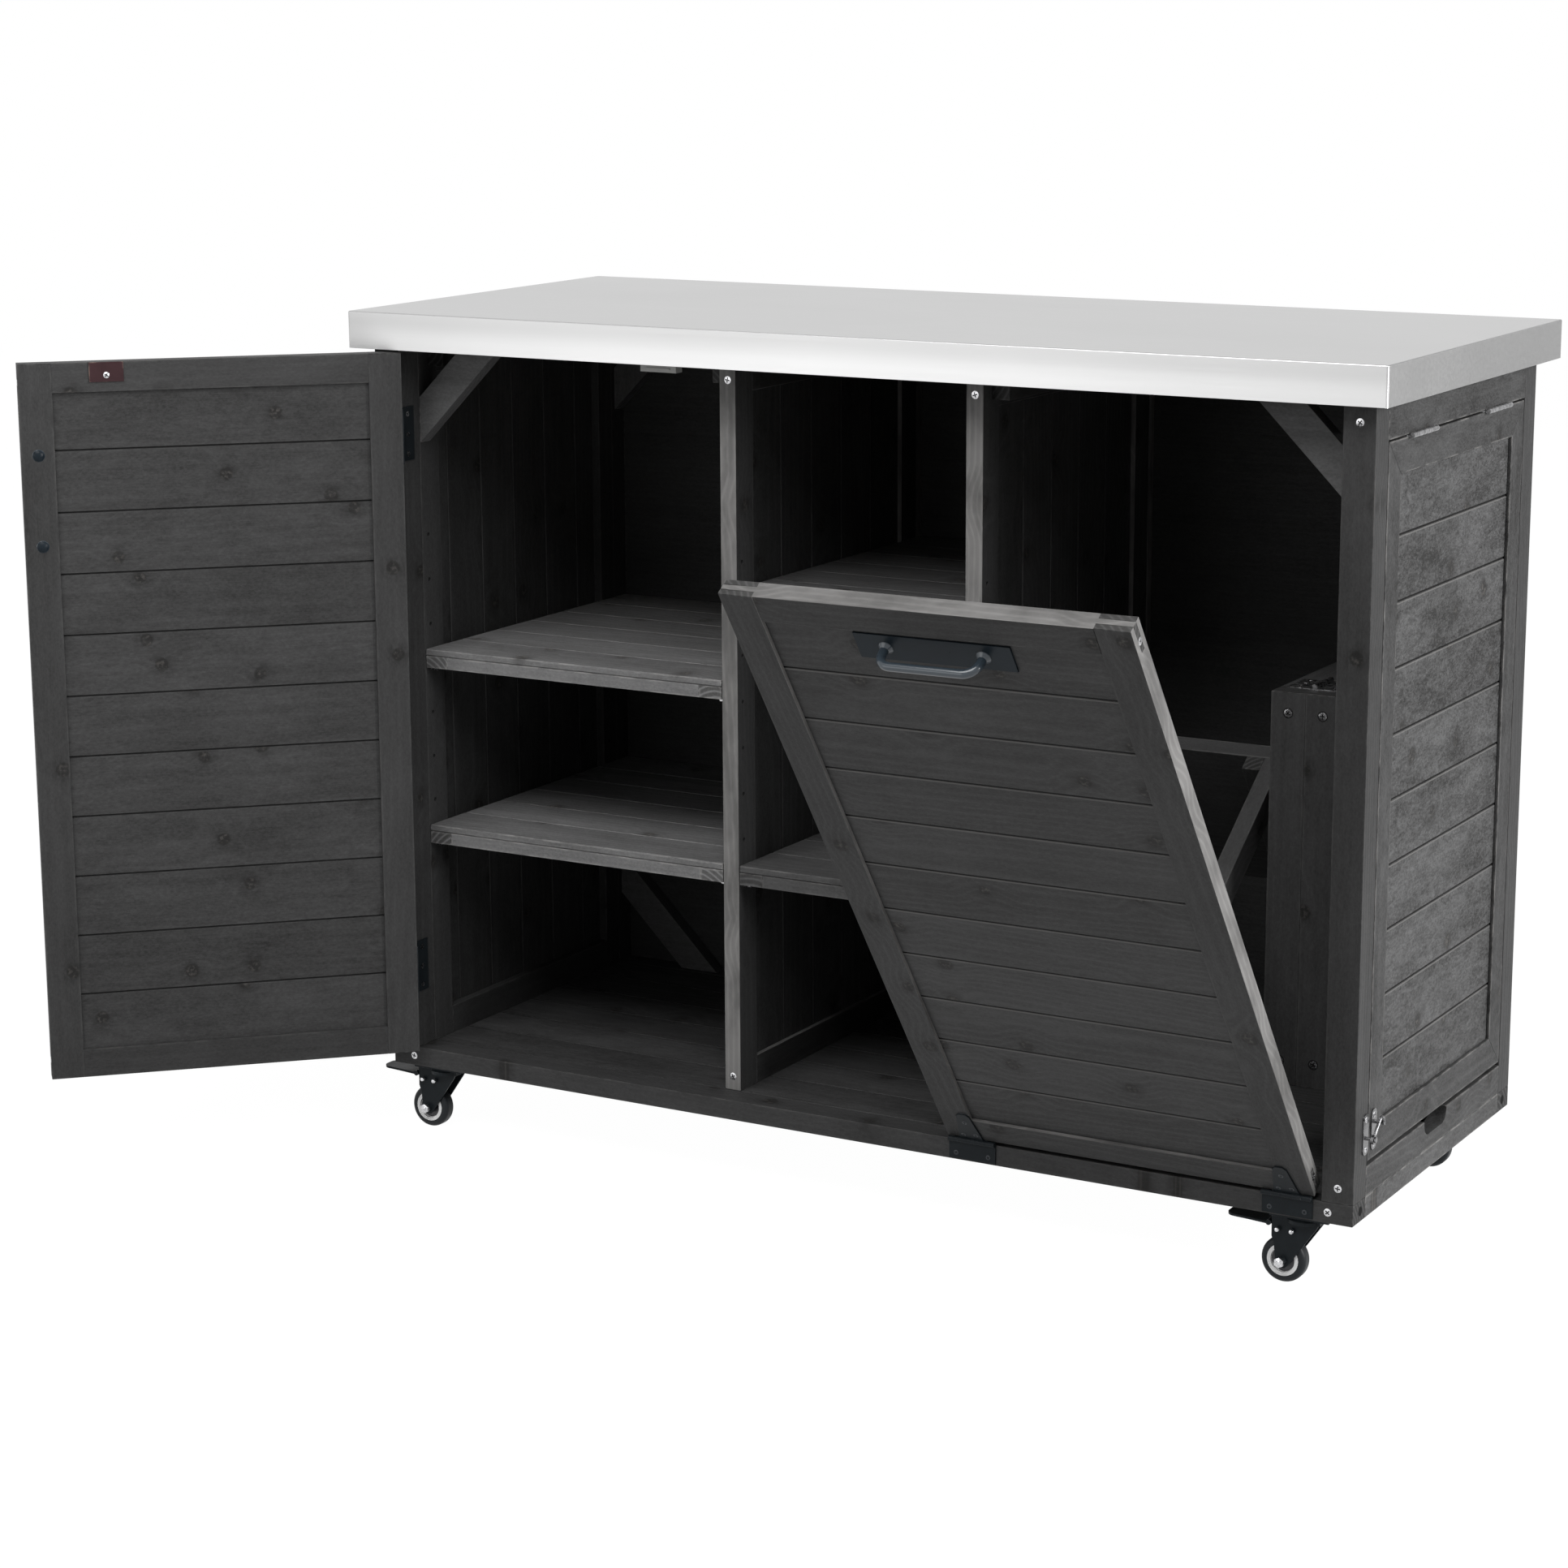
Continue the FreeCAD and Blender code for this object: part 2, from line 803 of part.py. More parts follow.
def flap_boards():
    y0, y1, z0, z1 = flap_box()
    w = flap_mitre - groove
    middle = body_x1 - leaf_t / 2
    return vee_boards(flap_boards_count, ("z", z0 + w, z1 - w),
                      ("x", middle - board_t / 2, middle + board_t / 2), ("y", y0 + w, y1 - w))


def flap_hinge_starts():
    middle = (inner_y0 + inner_y1) / 2
    first = middle - flap_hinge_at - flap_hinge_length / 2
    return (first, first + 2 * flap_hinge_at)


def flap_hinges(fixed):
    x, z = flap_pin()
    edge = body_x1 - leaf_t + flap_leaf_set_back
    solids = []
    for y in flap_hinge_starts():
        if fixed:
            leaf = box(edge, x, y, y + flap_hinge_length, z + fit, body_top - side_rail_h)
        else:
            leaf = box(edge, x, y, y + flap_hinge_length, flap_box()[3], z - fit)
        solids += hinge_half((x, y, z), (0, 1, 0), flap_hinge_length, leaf, fixed)
    return solids


def leg_y():
    middle = (inner_y0 + inner_y1) / 2
    return (middle - leg_frame_depth / 2, middle + leg_frame_depth / 2)


def leg_x1():
    return body_x1 - leaf_t - leg_to_flap


def leg_z0():
    return flap_box()[2] + leg_batten_up + leg_batten_h + leg_batten_gap


def flap_batten():
    y0, y1 = leg_y()
    z1 = leg_z0() - leg_batten_gap
    return [box(leg_x1(), body_x1 - leaf_t, y0, y1, z1 - leg_batten_h, z1)]


def leg_frame(x0):
    # Two posts and two cross rails
    y0, y1 = leg_y()
    z0 = leg_z0()
    z1 = z0 + leg_length
    x1 = x0 + leg_t
    solids = []
    for y in (y0, y1 - leg_post_w):
        solids.append(box(x0, x1, y, y + leg_post_w, z0, z1))
    for z in (z0, z1 - leg_rail_h):
        solids.append(box(x0, x1, y0 + leg_post_w, y1 - leg_post_w, z, z + leg_rail_h))
    return solids


def upper_leg_frame():
    return leg_frame(leg_x1() - leg_t)


def lower_leg_frame():
    return leg_frame(leg_x1() - 2 * leg_t)


def leg_hinge_starts():
    y0, y1 = leg_y()
    return (y0 + leg_hinge_inset, y1 - leg_hinge_inset - fold_plate_length)


def root_pin():
    return (leg_x1() - knuckle_r - running_gap, leg_z0() - knuckle_r - running_gap)


def leg_root_hinges(fixed):
    # Strap hinges in the corner between the batten and the leg's lower end
    x, z = root_pin()
    z0 = leg_z0()
    solids = []
    for y in leg_hinge_starts():
        if fixed:
            leaf = box(leg_x1() - hinge_leaf_t, leg_x1(), y, y + fold_plate_length, z - fold_plate_w, z)
            web = box(x, leg_x1(), y, y + fold_plate_length, z - hinge_leaf_t, z)
            solids += hinge_half((x, y, z), (0, 1, 0), fold_plate_length, leaf.fuse(web), True)
        else:
            leaf = box(x - fold_plate_w, x, y, y + fold_plate_length, z0 - hinge_leaf_t, z0)
            web = box(x - hinge_leaf_t, x, y, y + fold_plate_length, z, z0)
            solids += hinge_half((x, y, z), (0, 1, 0), fold_plate_length, leaf.fuse(web), False)
    return solids


def leg_fold_hinges():
    # Galvanised hinges over the tops of the two folded frames
    x = leg_x1() - leg_t
    z = leg_z0() + leg_length
    solids = []
    for y in leg_hinge_starts():
        plate = box(x - fold_plate_w, x + fold_plate_w, y, y + fold_plate_length, z, z + hinge_leaf_t)
        barrel = rod((x, y, z + knuckle_r), (0, 1, 0), knuckle_r, fold_plate_length)
        solids += plate.fuse(barrel).removeSplitter().Solids
    return solids


def latch_z0():
    return flap_box()[2] + latch_above_flap_bottom


def latch_centre():
    # The hook's pivot on the post
    return (body_y0 + post_d - latch_post_edge - latch_plate_w / 2, latch_z0() + latch_pivot_up)


def latch_plate(y, stud_z):
    z0 = latch_z0()
    plate = box(body_x1, body_x1 + latch_plate_t, y - latch_plate_w / 2, y + latch_plate_w / 2,
                z0, z0 + latch_plate_h)
    return plate.makeFillet(latch_plate_round, edges_along(plate, (1, 0, 0)))


def latch_post_plate():
    # The plate with the headed stud that the hook turns on
    y, z = latch_centre()
    shape = latch_plate(y, z)
    reach = latch_stand + latch_wire_r + running_gap
    shape = shape.fuse(rod((body_x1, y, z), (1, 0, 0), latch_stud_r, latch_plate_t + reach))
    head = rod((body_x1 + latch_plate_t + reach, y, z), (1, 0, 0), latch_pivot_r, latch_plate_t)
    return shape.fuse(head).removeSplitter().Solids


def latch_stud():
    return (flap_box()[0] + latch_stud_edge + latch_plate_w / 2, latch_z0() + latch_stud_up)


def latch_flap_plate():
    # The plate with the stud that the hook catches
    y, z = latch_stud()
    shape = latch_plate(y, z)
    reach = latch_stand + 2 * latch_wire_r
    stud = rod((body_x1, y, z), (1, 0, 0), latch_stud_r, latch_plate_t + reach)
    return shape.fuse(stud).removeSplitter().Solids


def latch_hook():
    # Bent wire: an eye on the pivot, a rising arm and an arch over the stud
    x = body_x1 + latch_plate_t + latch_stand
    py, pz = latch_centre()
    sy, sz = latch_stud()
    r = latch_arch_r
    # The arm leaves the eye on a line that touches the arch
    dy = sy - py
    dz = sz - pz
    angle = math.atan2(dz, dy) + math.asin(r / math.hypot(dy, dz))
    start = V(x, py + latch_eye_r * math.cos(angle), pz + latch_eye_r * math.sin(angle))
    touch = V(x, sy - r * math.sin(angle), sz + r * math.cos(angle))
    arm = rod(start, touch - start, latch_wire_r, (touch - start).Length)
    # The arch is a part turn of a ring about the stud, from the end of the arm to the tip
    ring = Part.Face(Part.Wire(Part.makeCircle(latch_wire_r, touch, touch - start)))
    arch = ring.revolve(V(x, sy, sz), V(-1, 0, 0), 90 + math.degrees(angle))
    end = V(x, sy + r, sz)
    tip = rod(end, (0, 0, -1), latch_wire_r, latch_tip)
    eye = rod((x - latch_wire_r, py, pz), (1, 0, 0), latch_eye_r + latch_eye_rim, 2 * latch_wire_r)
    shape = eye.fuse(arm).fuse(arch).fuse(tip)
    return shape.cut(rod((x - latch_stand, py, pz), (1, 0, 0), latch_stud_r + fit, 2 * latch_stand)).Solids


def screw(point, direction):
    # A countersunk screw, sunk below the face it goes into
    start = ahead(point, direction, screw_sink)
    head = Part.makeCone(screw_head_r, screw_shank_r, screw_head_h, V(*start), V(*direction))
    shank = rod(ahead(start, direction, screw_head_h), direction, screw_shank_r, screw_length - screw_head_h)
    return head.fuse(shank).removeSplitter().Solids[0]


def front_screw_places():
    low = deck_z + screw_up_base
    high = body_top - screw_down_top
    places = []
    for x in (body_x0 + post_w / 2, body_x1 - post_w / 2):
        places += [(x, body_y0, low), (x, body_y0, high)]
    for x in (left_div_x + divider_t / 2, right_div_x + divider_t / 2):
        places += [(x, inner_y0, low), (x, inner_y0, high)]
    for x in (body_x0 + screw_in_corner, body_x1 - screw_in_corner):
        places.append((x, body_y0, base_z + base_t / 2))
    return places


def body_screws():
    return [screw(point, (0, 1, 0)) for point in front_screw_places()]


def with_screw_holes(solids):
    screws = []
    for point in front_screw_places():
        screws.append(screw(point, (0, 1, 0)))
        screws.append(rod(point, (0, 1, 0), screw_head_r, screw_sink))
    done = []
    for solid in solids:
        for tool in screws:
            if solid.BoundBox.intersect(tool.BoundBox):
                solid = solid.cut(tool)
        done += solid.Solids
    return done


def caster_axes():
    # Swivel axes with names, and whether each caster has a brake
    x0 = body_x0 + caster_inset_x
    x1 = body_x1 - caster_inset_x
    y0 = body_y0 + caster_inset_y
    y1 = body_y1 - caster_inset_y
    return (("front_left", x0, y0, True), ("front_right", x1, y0, True),
            ("back_left", x0, y1, False), ("back_right", x1, y1, False))


def caster_plates():
    # Top plates with the raceway cup and the kingpin
    solids = []
    for name, x, y, brake in caster_axes():
        z = caster_height - caster_plate_t
        a = caster_plate_x / 2
        b = caster_plate_y / 2
        shape = box(x - a, x + a, y - b, y + b, z, caster_height)
        for dx in (caster_hole_inset_x - a, a - caster_hole_inset_x):
            for dy in (caster_hole_inset_y - b, b - caster_hole_inset_y):
                shape = shape.cut(rod((x + dx, y + dy, z), (0, 0, 1), caster_hole_r, caster_plate_t))
        cup = Part.makeCone(race_r, race_r - race_cup_h, race_cup_h, V(x, y, z - race_cup_h), V(0, 0, 1))
        king_z = z - race_h - fork_web_t
        shape = shape.fuse(cup).fuse(rod((x, y, king_z), (0, 0, 1), king_r, z - king_z))
        shape = shape.fuse(rod((x, y, king_z - king_head_h), (0, 0, 1), king_head_r, king_head_h))
        solids += shape.removeSplitter().Solids
    return solids


def fork_top():
    return caster_height - caster_plate_t - race_cup_h - running_gap


def fork_tail_x(x, brake):
    return x - race_r - (fork_brake_tail if brake else fork_tail)


def caster_fork(x, y, brake):
    # A pressed fork: a raceway dish, two tapered cheeks that trail to the axle, and the axle with its nuts
    top = fork_top()
    web_z = top - fork_web_t
    wheel_x = x - caster_trail
    half = wheel_t / 2 + fork_gap
    reach = half + fork_t
    tail = fork_tail_x(x, brake)
    low = wheel_r - fork_tip_below_axle
    tip = fork_tip / 2
    points = [(x + race_r, top), (x + race_r - fork_web_t, top - 2 * fork_web_t),
              (wheel_x + fork_tip, low + tip), (wheel_x + tip, low), (wheel_x - tip, low),
              (wheel_x - fork_tip, low + tip), (wheel_x - fork_waist, wheel_r + fork_waist_above_axle),
              (tail, wheel_r + fork_heel_above_axle), (tail, top)]
    shape = box(tail, x + race_r, y - reach, y + reach, web_z, top)
    for side_y in (y + half, y - reach):
        shape = shape.fuse(extruded(points, "y", side_y, side_y + fork_t))
    shape = shape.fuse(rod((x, y, web_z), (0, 0, 1), race_r, fork_web_t)).removeSplitter()
    shape = shape.cut(rod((x, y, web_z), (0, 0, 1), king_r + fit, fork_web_t))
    shape = shape.fuse(rod((wheel_x, y - reach, wheel_r), (0, 1, 0), axle_r, 2 * reach))
    for side in (-1, 1):
        corners = []
        for turn in range(0, 420, 60):
            a = math.radians(turn)
            corners.append(V(wheel_x + nut_r * math.cos(a), y + side * reach, wheel_r + nut_r * math.sin(a)))
        nut = Part.Face(Part.makePolygon(corners))
        shape = shape.fuse(nut.extrude(V(0, side * nut_h, 0)))
    if brake:
        rivet_reach = reach + rivet_h
        for rivet_x in (tail + rivet_inset - rivet_spacing / 2, tail + rivet_inset + rivet_spacing / 2):
            start = (rivet_x, y - rivet_reach, web_z - rivet_down)
            shape = shape.fuse(rod(start, (0, 1, 0), rivet_r, 2 * rivet_reach))
    return shape.removeSplitter().Solids


def caster_wheel(x, y):
    # A tyre with rounded shoulders on a hub with a bore for the axle
    wheel_x = x - caster_trail
    half = wheel_t / 2
    centre = (wheel_x, y - half, wheel_r)
    tyre = rod(centre, (0, 1, 0), wheel_r, wheel_t)
    rims = [e for e in tyre.Edges if abs(e.BoundBox.YLength) < fit and e.BoundBox.XLength > wheel_r]
    tyre = tyre.makeFillet(tyre_shoulder, rims)
    tyre = tyre.cut(rod(centre, (0, 1, 0), hub_r, wheel_t))
    hub = rod(centre, (0, 1, 0), hub_r, wheel_t)
    for side in (-1, 1):
        floor = (wheel_x, y + side * (half - hub_dish), wheel_r)
        dish = rod(floor, (0, side, 0), hub_r - hub_rim, hub_dish)
        boss = rod(floor, (0, side, 0), axle_r + hub_boss, hub_dish)
        hub = hub.cut(dish.cut(boss))
    hub = hub.cut(rod(centre, (0, 1, 0), axle_r + fit, wheel_t))
    return tyre.Solids + hub.Solids


def pedal_pivot(x):
    return (fork_tail_x(x, True) - pedal_barrel_r - running_gap, fork_top() - fork_web_t - pedal_drop)


def brake_pedal(x, y):
    # A paddle that reaches out past the wheel, hinged on the tail of the fork
    px, pz = pedal_pivot(x)
    end = px - pedal_length
    half = pedal_w / 2
    points = [(px, pz - pedal_t / 2), (px, pz + pedal_t / 2), (end, pz + pedal_t / 2 + pedal_rise),
              (end, pz - pedal_t / 2 + pedal_rise)]
    paddle = extruded(points, "y", y - half, y + half)
    ends = [e for e in edges_along(paddle, (0, 0, 1)) if e.BoundBox.XMax < end + fit]
    paddle = paddle.makeFillet(pedal_corner, ends)
    barrel = rod((px, y - half, pz), (0, 1, 0), pedal_barrel_r, pedal_w)
    return paddle.fuse(barrel).removeSplitter().Solids


def closed_nodes():
    # Every piece with its doors and flap closed, in the working frame
    nodes = {
        "worktop_skin": worktop_skin(),
        "worktop_core": worktop_core(),
        "top_frame": top_frame(),
        "base_frame": with_screw_holes(base_frame()),
        "deck_boards": deck_boards(),
        "post_front_left": with_screw_holes(post(body_x0, body_y0)),
        "post_front_right": with_screw_holes(post(inner_x1, body_y0)),
        "post_back_left": post(body_x0, inner_y1),
        "post_back_right": post(inner_x1, inner_y1),
        "corner_braces": corner_braces(),
        "left_side_frame": left_side_frame(),
        "left_side_boards": left_side_boards(),
        "back_panel": back_panel(),
        "upper_side_rail": upper_side_rail(),
        "lower_side_board": lower_side_board(),
        "divider_left_frame": with_screw_holes(divider_frame(left_div_x)),
        "divider_left_boards": divider_boards(left_div_x),
        "divider_right_frame": with_screw_holes(divider_frame(right_div_x)),
        "divider_right_boards": divider_boards(right_div_x),
        "shelf_left_upper": shelf(inner_x0, left_div_x, left_upper_row),
        "shelf_left_lower": shelf(inner_x0, left_div_x, left_lower_row),
        "shelf_middle_upper": shelf(left_div_x + divider_t, right_div_x, middle_upper_row),
        "shelf_middle_lower": shelf(left_div_x + divider_t, right_div_x, middle_lower_row),
        "shelf_pins": shelf_pins(),
        "magnetic_catch": magnetic_catch(),
        "body_screws": body_screws(),
        "left_door_hinge_leaves": left_door_hinges(True),
        "tilt_hinge_plates": tilt_hinge_plates(),
        "flap_hinge_fixed_leaves": flap_hinges(True),
        "latch_post_plate": latch_post_plate(),
        "caster_plates": caster_plates(),
        "left_door_frame": left_door_frame(),
        "left_door_boards": left_door_boards(),
        "left_door_striker": striker_plate(),
        "left_door_handle": left_door_handle(),
        "left_door_hinge_wings": left_door_hinges(False),
        "tilt_door_frame": tilt_door_frame(),
        "tilt_door_boards": tilt_door_boards(),
        "tilt_door_handle": tilt_door_handle(),
        "tilt_hinge_straps": tilt_hinge_straps(),
        "waste_rack": waste_rack(),
        "waste_rack_board": waste_rack_board(),
        "flap_frame": flap_frame() + flap_batten(),
        "flap_boards": flap_boards(),
        "flap_hinge_leaves": flap_hinges(False) + leg_root_hinges(True),
        "latch_flap_plate": latch_flap_plate(),
        "latch_hook": latch_hook(),
        "upper_leg_frame": upper_leg_frame(),
        "lower_leg_frame": lower_leg_frame(),
        "leg_hinges": leg_root_hinges(False) + leg_fold_hinges(),
    }
    for name, x, y, brake in caster_axes():
        nodes["fork_" + name] = caster_fork(x, y, brake)
        nodes["wheel_" + name] = caster_wheel(x, y)
        if brake:
            nodes["pedal_" + name] = brake_pedal(x, y)
    return nodes


def standing_nodes():
    # The two front doors stand open, as in use
    nodes = closed_nodes()
    x, y = door_pin()
    pin_y, pin_z = tilt_pin()
    for name, solids in nodes.items():
        if name.startswith("left_door") and name != "left_door_hinge_leaves":
            turned(solids, (x, y, 0), (0, 0, 1), -door_open)
        if name.startswith("tilt_door") or name.startswith("waste_rack") or name == "tilt_hinge_straps":
            turned(solids, (0, pin_y, pin_z), (1, 0, 0), tilt_open)
    return nodes


def footprint_centre(nodes):
    whole = FreeCAD.BoundBox()
    for solids in nodes.values():
        for solid in solids:
            whole.add(solid.optimalBoundingBox(False))
    return ((whole.XMin + whole.XMax) / 2, (whole.YMin + whole.YMax) / 2, whole.ZMin)


def main():
    os.makedirs("parts", exist_ok=True)
    nodes = standing_nodes()
    cx, cy, cz = footprint_centre(nodes)
    for name, solids in nodes.items():
        shape = Part.makeCompound(solids)
        shape.translate(V(-cx, -cy, -cz))
        shape.exportStep("parts/" + name + ".step")
    print("nodes", len(nodes), "origin", round(cx, 3), round(cy, 3), round(cz, 3))


main()
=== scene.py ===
# %% [markdown]
# # A grill cart with storage
# The real object is a pine cabinet, stained charcoal grey, under a brushed stainless worktop. It stands on
# four small casters. Its left door hangs wide open, its right front tips forward as a waste door, and its
# right side is a flap that is shut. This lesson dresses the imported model: every piece keeps the shape and
# place of its solid, and gets soft edges, screws and finishes that follow each board.

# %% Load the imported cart
import bpy
import bmesh
import json
import math
import numpy as np
from mathutils import Matrix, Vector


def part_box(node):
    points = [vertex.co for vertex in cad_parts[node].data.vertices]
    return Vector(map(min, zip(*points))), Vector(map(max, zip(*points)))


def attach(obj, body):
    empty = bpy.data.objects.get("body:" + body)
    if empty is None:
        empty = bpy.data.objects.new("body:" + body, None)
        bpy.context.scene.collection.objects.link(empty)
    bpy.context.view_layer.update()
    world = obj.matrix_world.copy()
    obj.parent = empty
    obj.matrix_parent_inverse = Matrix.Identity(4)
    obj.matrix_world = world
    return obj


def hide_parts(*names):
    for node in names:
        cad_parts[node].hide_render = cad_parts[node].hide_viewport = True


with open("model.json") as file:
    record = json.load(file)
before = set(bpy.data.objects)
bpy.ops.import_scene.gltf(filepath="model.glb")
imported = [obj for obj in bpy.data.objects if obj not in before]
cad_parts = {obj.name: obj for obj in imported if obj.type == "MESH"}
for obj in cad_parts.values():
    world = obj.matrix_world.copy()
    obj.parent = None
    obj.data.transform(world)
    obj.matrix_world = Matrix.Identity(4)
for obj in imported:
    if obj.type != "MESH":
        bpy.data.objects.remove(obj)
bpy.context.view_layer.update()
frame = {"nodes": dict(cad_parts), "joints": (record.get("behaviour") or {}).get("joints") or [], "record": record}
NODES = frame["nodes"]
SLOT_OF = {s["node"]: s["material_slot"] for s in frame["record"]["subparts"]}
BODY_OF = {n: b for b, members in frame["record"]["behaviour"]["bodies"].items() for n in members}

# %% [markdown]
# ## The camera comes first
# A camera's place and turn are six numbers, and its focal length is the seventh. They were worked out
# from corners of the worktop, the posts and the doors. No shift is used, so the same camera serves any
# other view of the cart.

# %% Place the camera
CAMERA_PLACE = (2.0373, -3.4360, 1.3612)
CAMERA_YAW = math.radians(30.009)
CAMERA_DOWN = math.radians(12.625)
CAMERA_ROLL = math.radians(-0.284)
FOCAL_SHARE = 2.3563
SENSOR = 36.0


def make_camera():
    """Forward is yaw about Z, then down from level; right and up are turned about it by the roll."""
    data = bpy.data.cameras.new("camera")
    data.sensor_width = SENSOR
    data.lens = SENSOR * FOCAL_SHARE
    data.clip_end = 100.0
    level = np.array([-math.sin(CAMERA_YAW), math.cos(CAMERA_YAW), 0.0])
    forward = level * math.cos(CAMERA_DOWN) - np.array([0.0, 0.0, math.sin(CAMERA_DOWN)])
    side = np.array([math.cos(CAMERA_YAW), math.sin(CAMERA_YAW), 0.0])
    above = np.cross(side, forward)
    right = side * math.cos(CAMERA_ROLL) + above * math.sin(CAMERA_ROLL)
    up = above * math.cos(CAMERA_ROLL) - side * math.sin(CAMERA_ROLL)
    camera = bpy.data.objects.new("camera", data)
    bpy.context.scene.collection.objects.link(camera)
    camera.location = CAMERA_PLACE
    camera.rotation_euler = Matrix((right, up, -forward)).transposed().to_euler()
    bpy.context.scene.camera = camera
    return camera


camera = make_camera()
print("camera at", CAMERA_PLACE, "lens", round(camera.data.lens, 1), "mm")

# %% [markdown]
# ## Shader maths as plain expressions
# A pattern is a formula, and a formula reads best as one. The class below wraps a node's output, so that
# an expression such as `1 - mask * 0.4` builds the Math nodes by itself. Colours and vectors have their
# own nodes, because a Math node would turn a colour grey.

# %% A wrapped socket
class Value:
    """One output of a node tree. Arithmetic on it adds the Math nodes that do the same to the picture."""

    def __init__(self, tree, socket):
        self.tree = tree
        self.socket = socket

    def node(self, kind, inputs, out=0, **settings):
        """Add a node of a kind, set its settings, then feed its inputs with numbers, tuples or Values."""
        made = self.tree.nodes.new(kind)
        for name, setting in settings.items():
            setattr(made, name, setting)
        for name, value in inputs.items():
            slot = made.inputs[name]
            if isinstance(value, Value):
                self.tree.links.new(value.socket, slot)
            else:
                slot.default_value = value
        return Value(self.tree, made.outputs[out])

    def maths(self, operation, a, b=0.0, c=0.0):
        return self.node("ShaderNodeMath", {0: a, 1: b, 2: c}, operation=operation)

    def __add__(self, other):
        return self.maths("ADD", self, other)

    def __radd__(self, other):
        return self.maths("ADD", other, self)

    def __sub__(self, other):
        return self.maths("SUBTRACT", self, other)

    def __rsub__(self, other):
        return self.maths("SUBTRACT", other, self)

    def __mul__(self, other):
        return self.maths("MULTIPLY", self, other)

    def __rmul__(self, other):
        return self.maths("MULTIPLY", other, self)

    def __truediv__(self, other):
        return self.maths("DIVIDE", self, other)

    def __rtruediv__(self, other):
        return self.maths("DIVIDE", other, self)

    def __pow__(self, other):
        return self.maths("POWER", self, other)

    def __abs__(self):
        return self.maths("ABSOLUTE", self)

    def sine(self):
        return self.maths("SINE", self)

    def least(self, other):
        return self.maths("MINIMUM", self, other)

    def most(self, other):
        return self.maths("MAXIMUM", self, other)

    def step(self, start, end):
        """0 before start, 1 after end, and smooth between them; start may be the larger of the two."""
        inputs = {"Value": self, "From Min": start, "From Max": end}
        return self.node("ShaderNodeMapRange", inputs, interpolation_type="SMOOTHSTEP")

    def parts(self):
        """The x, y and z of a vector."""
        split = self.node("ShaderNodeSeparateXYZ", {0: self})
        return [Value(self.tree, split.socket.node.outputs[k]) for k in range(3)]

    def vector(self, x, y, z):
        return self.node("ShaderNodeCombineXYZ", {0: x, 1: y, 2: z})

    def noise(self, scale, detail=2.0, rough=0.5, warp=0.0):
        inputs = {"Vector": self, "Scale": scale, "Detail": detail, "Roughness": rough, "Distortion": warp}
        return self.node("ShaderNodeTexNoise", inputs)

    def cells(self, scale, out=0, dimensions="3D", randomness=1.0):
        """Out 0 is the distance to the nearest point of a scatter, out 1 that point's own colour."""
        inputs = {"Vector": self, "Scale": scale, "Randomness": randomness}
        return self.node("ShaderNodeTexVoronoi", inputs, out, voronoi_dimensions=dimensions)

    def mix(self, a, b):
        """Colour a where this is 0 and colour b where it is 1."""
        made = self.tree.nodes.new("ShaderNodeMix")
        made.data_type = "RGBA"
        for slot, value in ((0, self), (6, a), (7, b)):
            if isinstance(value, Value):
                self.tree.links.new(value.socket, made.inputs[slot])
            else:
                made.inputs[slot].default_value = value
        return Value(self.tree, made.outputs[2])

    def bump(self, height, strength, distance):
        inputs = {"Height": height, "Strength": strength, "Distance": distance}
        return self.node("ShaderNodeBump", inputs)


def grey(level, warmth=0.0, blue=0.0):
    """A linear colour near grey: warmth lifts its red end and blue its blue end."""
    return (level * (1 + warmth), level, level * (1 - warmth + blue), 1.0)


# %% [markdown]
# ## A finish is a function that fills a material
# Each finish below gets a fresh Principled shader. Constants go straight onto its sockets. Patterns read
# attributes that the dressed pieces carry: where a point lies along, across and through its own board,
# the board's half sizes, and a random tone. So they follow every board or rod and never slide.

# %% Start a material
def start(name, **constants):
    """A material with its Principled shader's constants set, the shader, and a Value to grow nodes from."""
    material = bpy.data.materials.new(name)
    material.use_nodes = True
    tree = material.node_tree
    shader = tree.nodes["Principled BSDF"]
    for socket, value in constants.items():
        shader.inputs[socket.replace("_", " ")].default_value = value
    return material, shader, Value(tree, None)


def feed(shader, socket, value):
    value.tree.links.new(value.socket, shader.inputs[socket])


def attribute(seed, name, out=1):
    """A stored attribute: out 1 is its vector, out 2 its single number."""
    return seed.node("ShaderNodeAttribute", {}, out, attribute_name=name)


def object_place(seed):
    """Object coordinates, for a pattern that runs through a whole piece."""
    return seed.node("ShaderNodeTexCoord", {}, 3)


def place_in_board(seed):
    """A point's place in its board, the board's half sizes, and its distances to the three pairs of faces."""
    place = attribute(seed, "grain").parts()
    sizes = attribute(seed, "half").parts()
    return place, sizes, [size - abs(share) for size, share in zip(sizes, place)]


def edge_distance(gaps):
    """The middle one of the three distances to faces is the distance to the nearest edge."""
    low = gaps[0].least(gaps[1])
    high = gaps[0].most(gaps[1])
    return low.most(high.least(gaps[2]))


# %% [markdown]
# ## Stained pine
# Pine is a stack of growth rings round a pith. Cut a board out of it and the rings show as long cathedral
# arches on the face and as arcs on the end. So the rings are made in three dimensions: the distance from
# a pith line that lies just outside each board and leans a little. The stain sinks into the soft early
# wood and leaves the hard late wood, knots and worn edges differently dark. One function makes every
# timber finish, because the boards differ in tone, wear and grooves but not in kind.

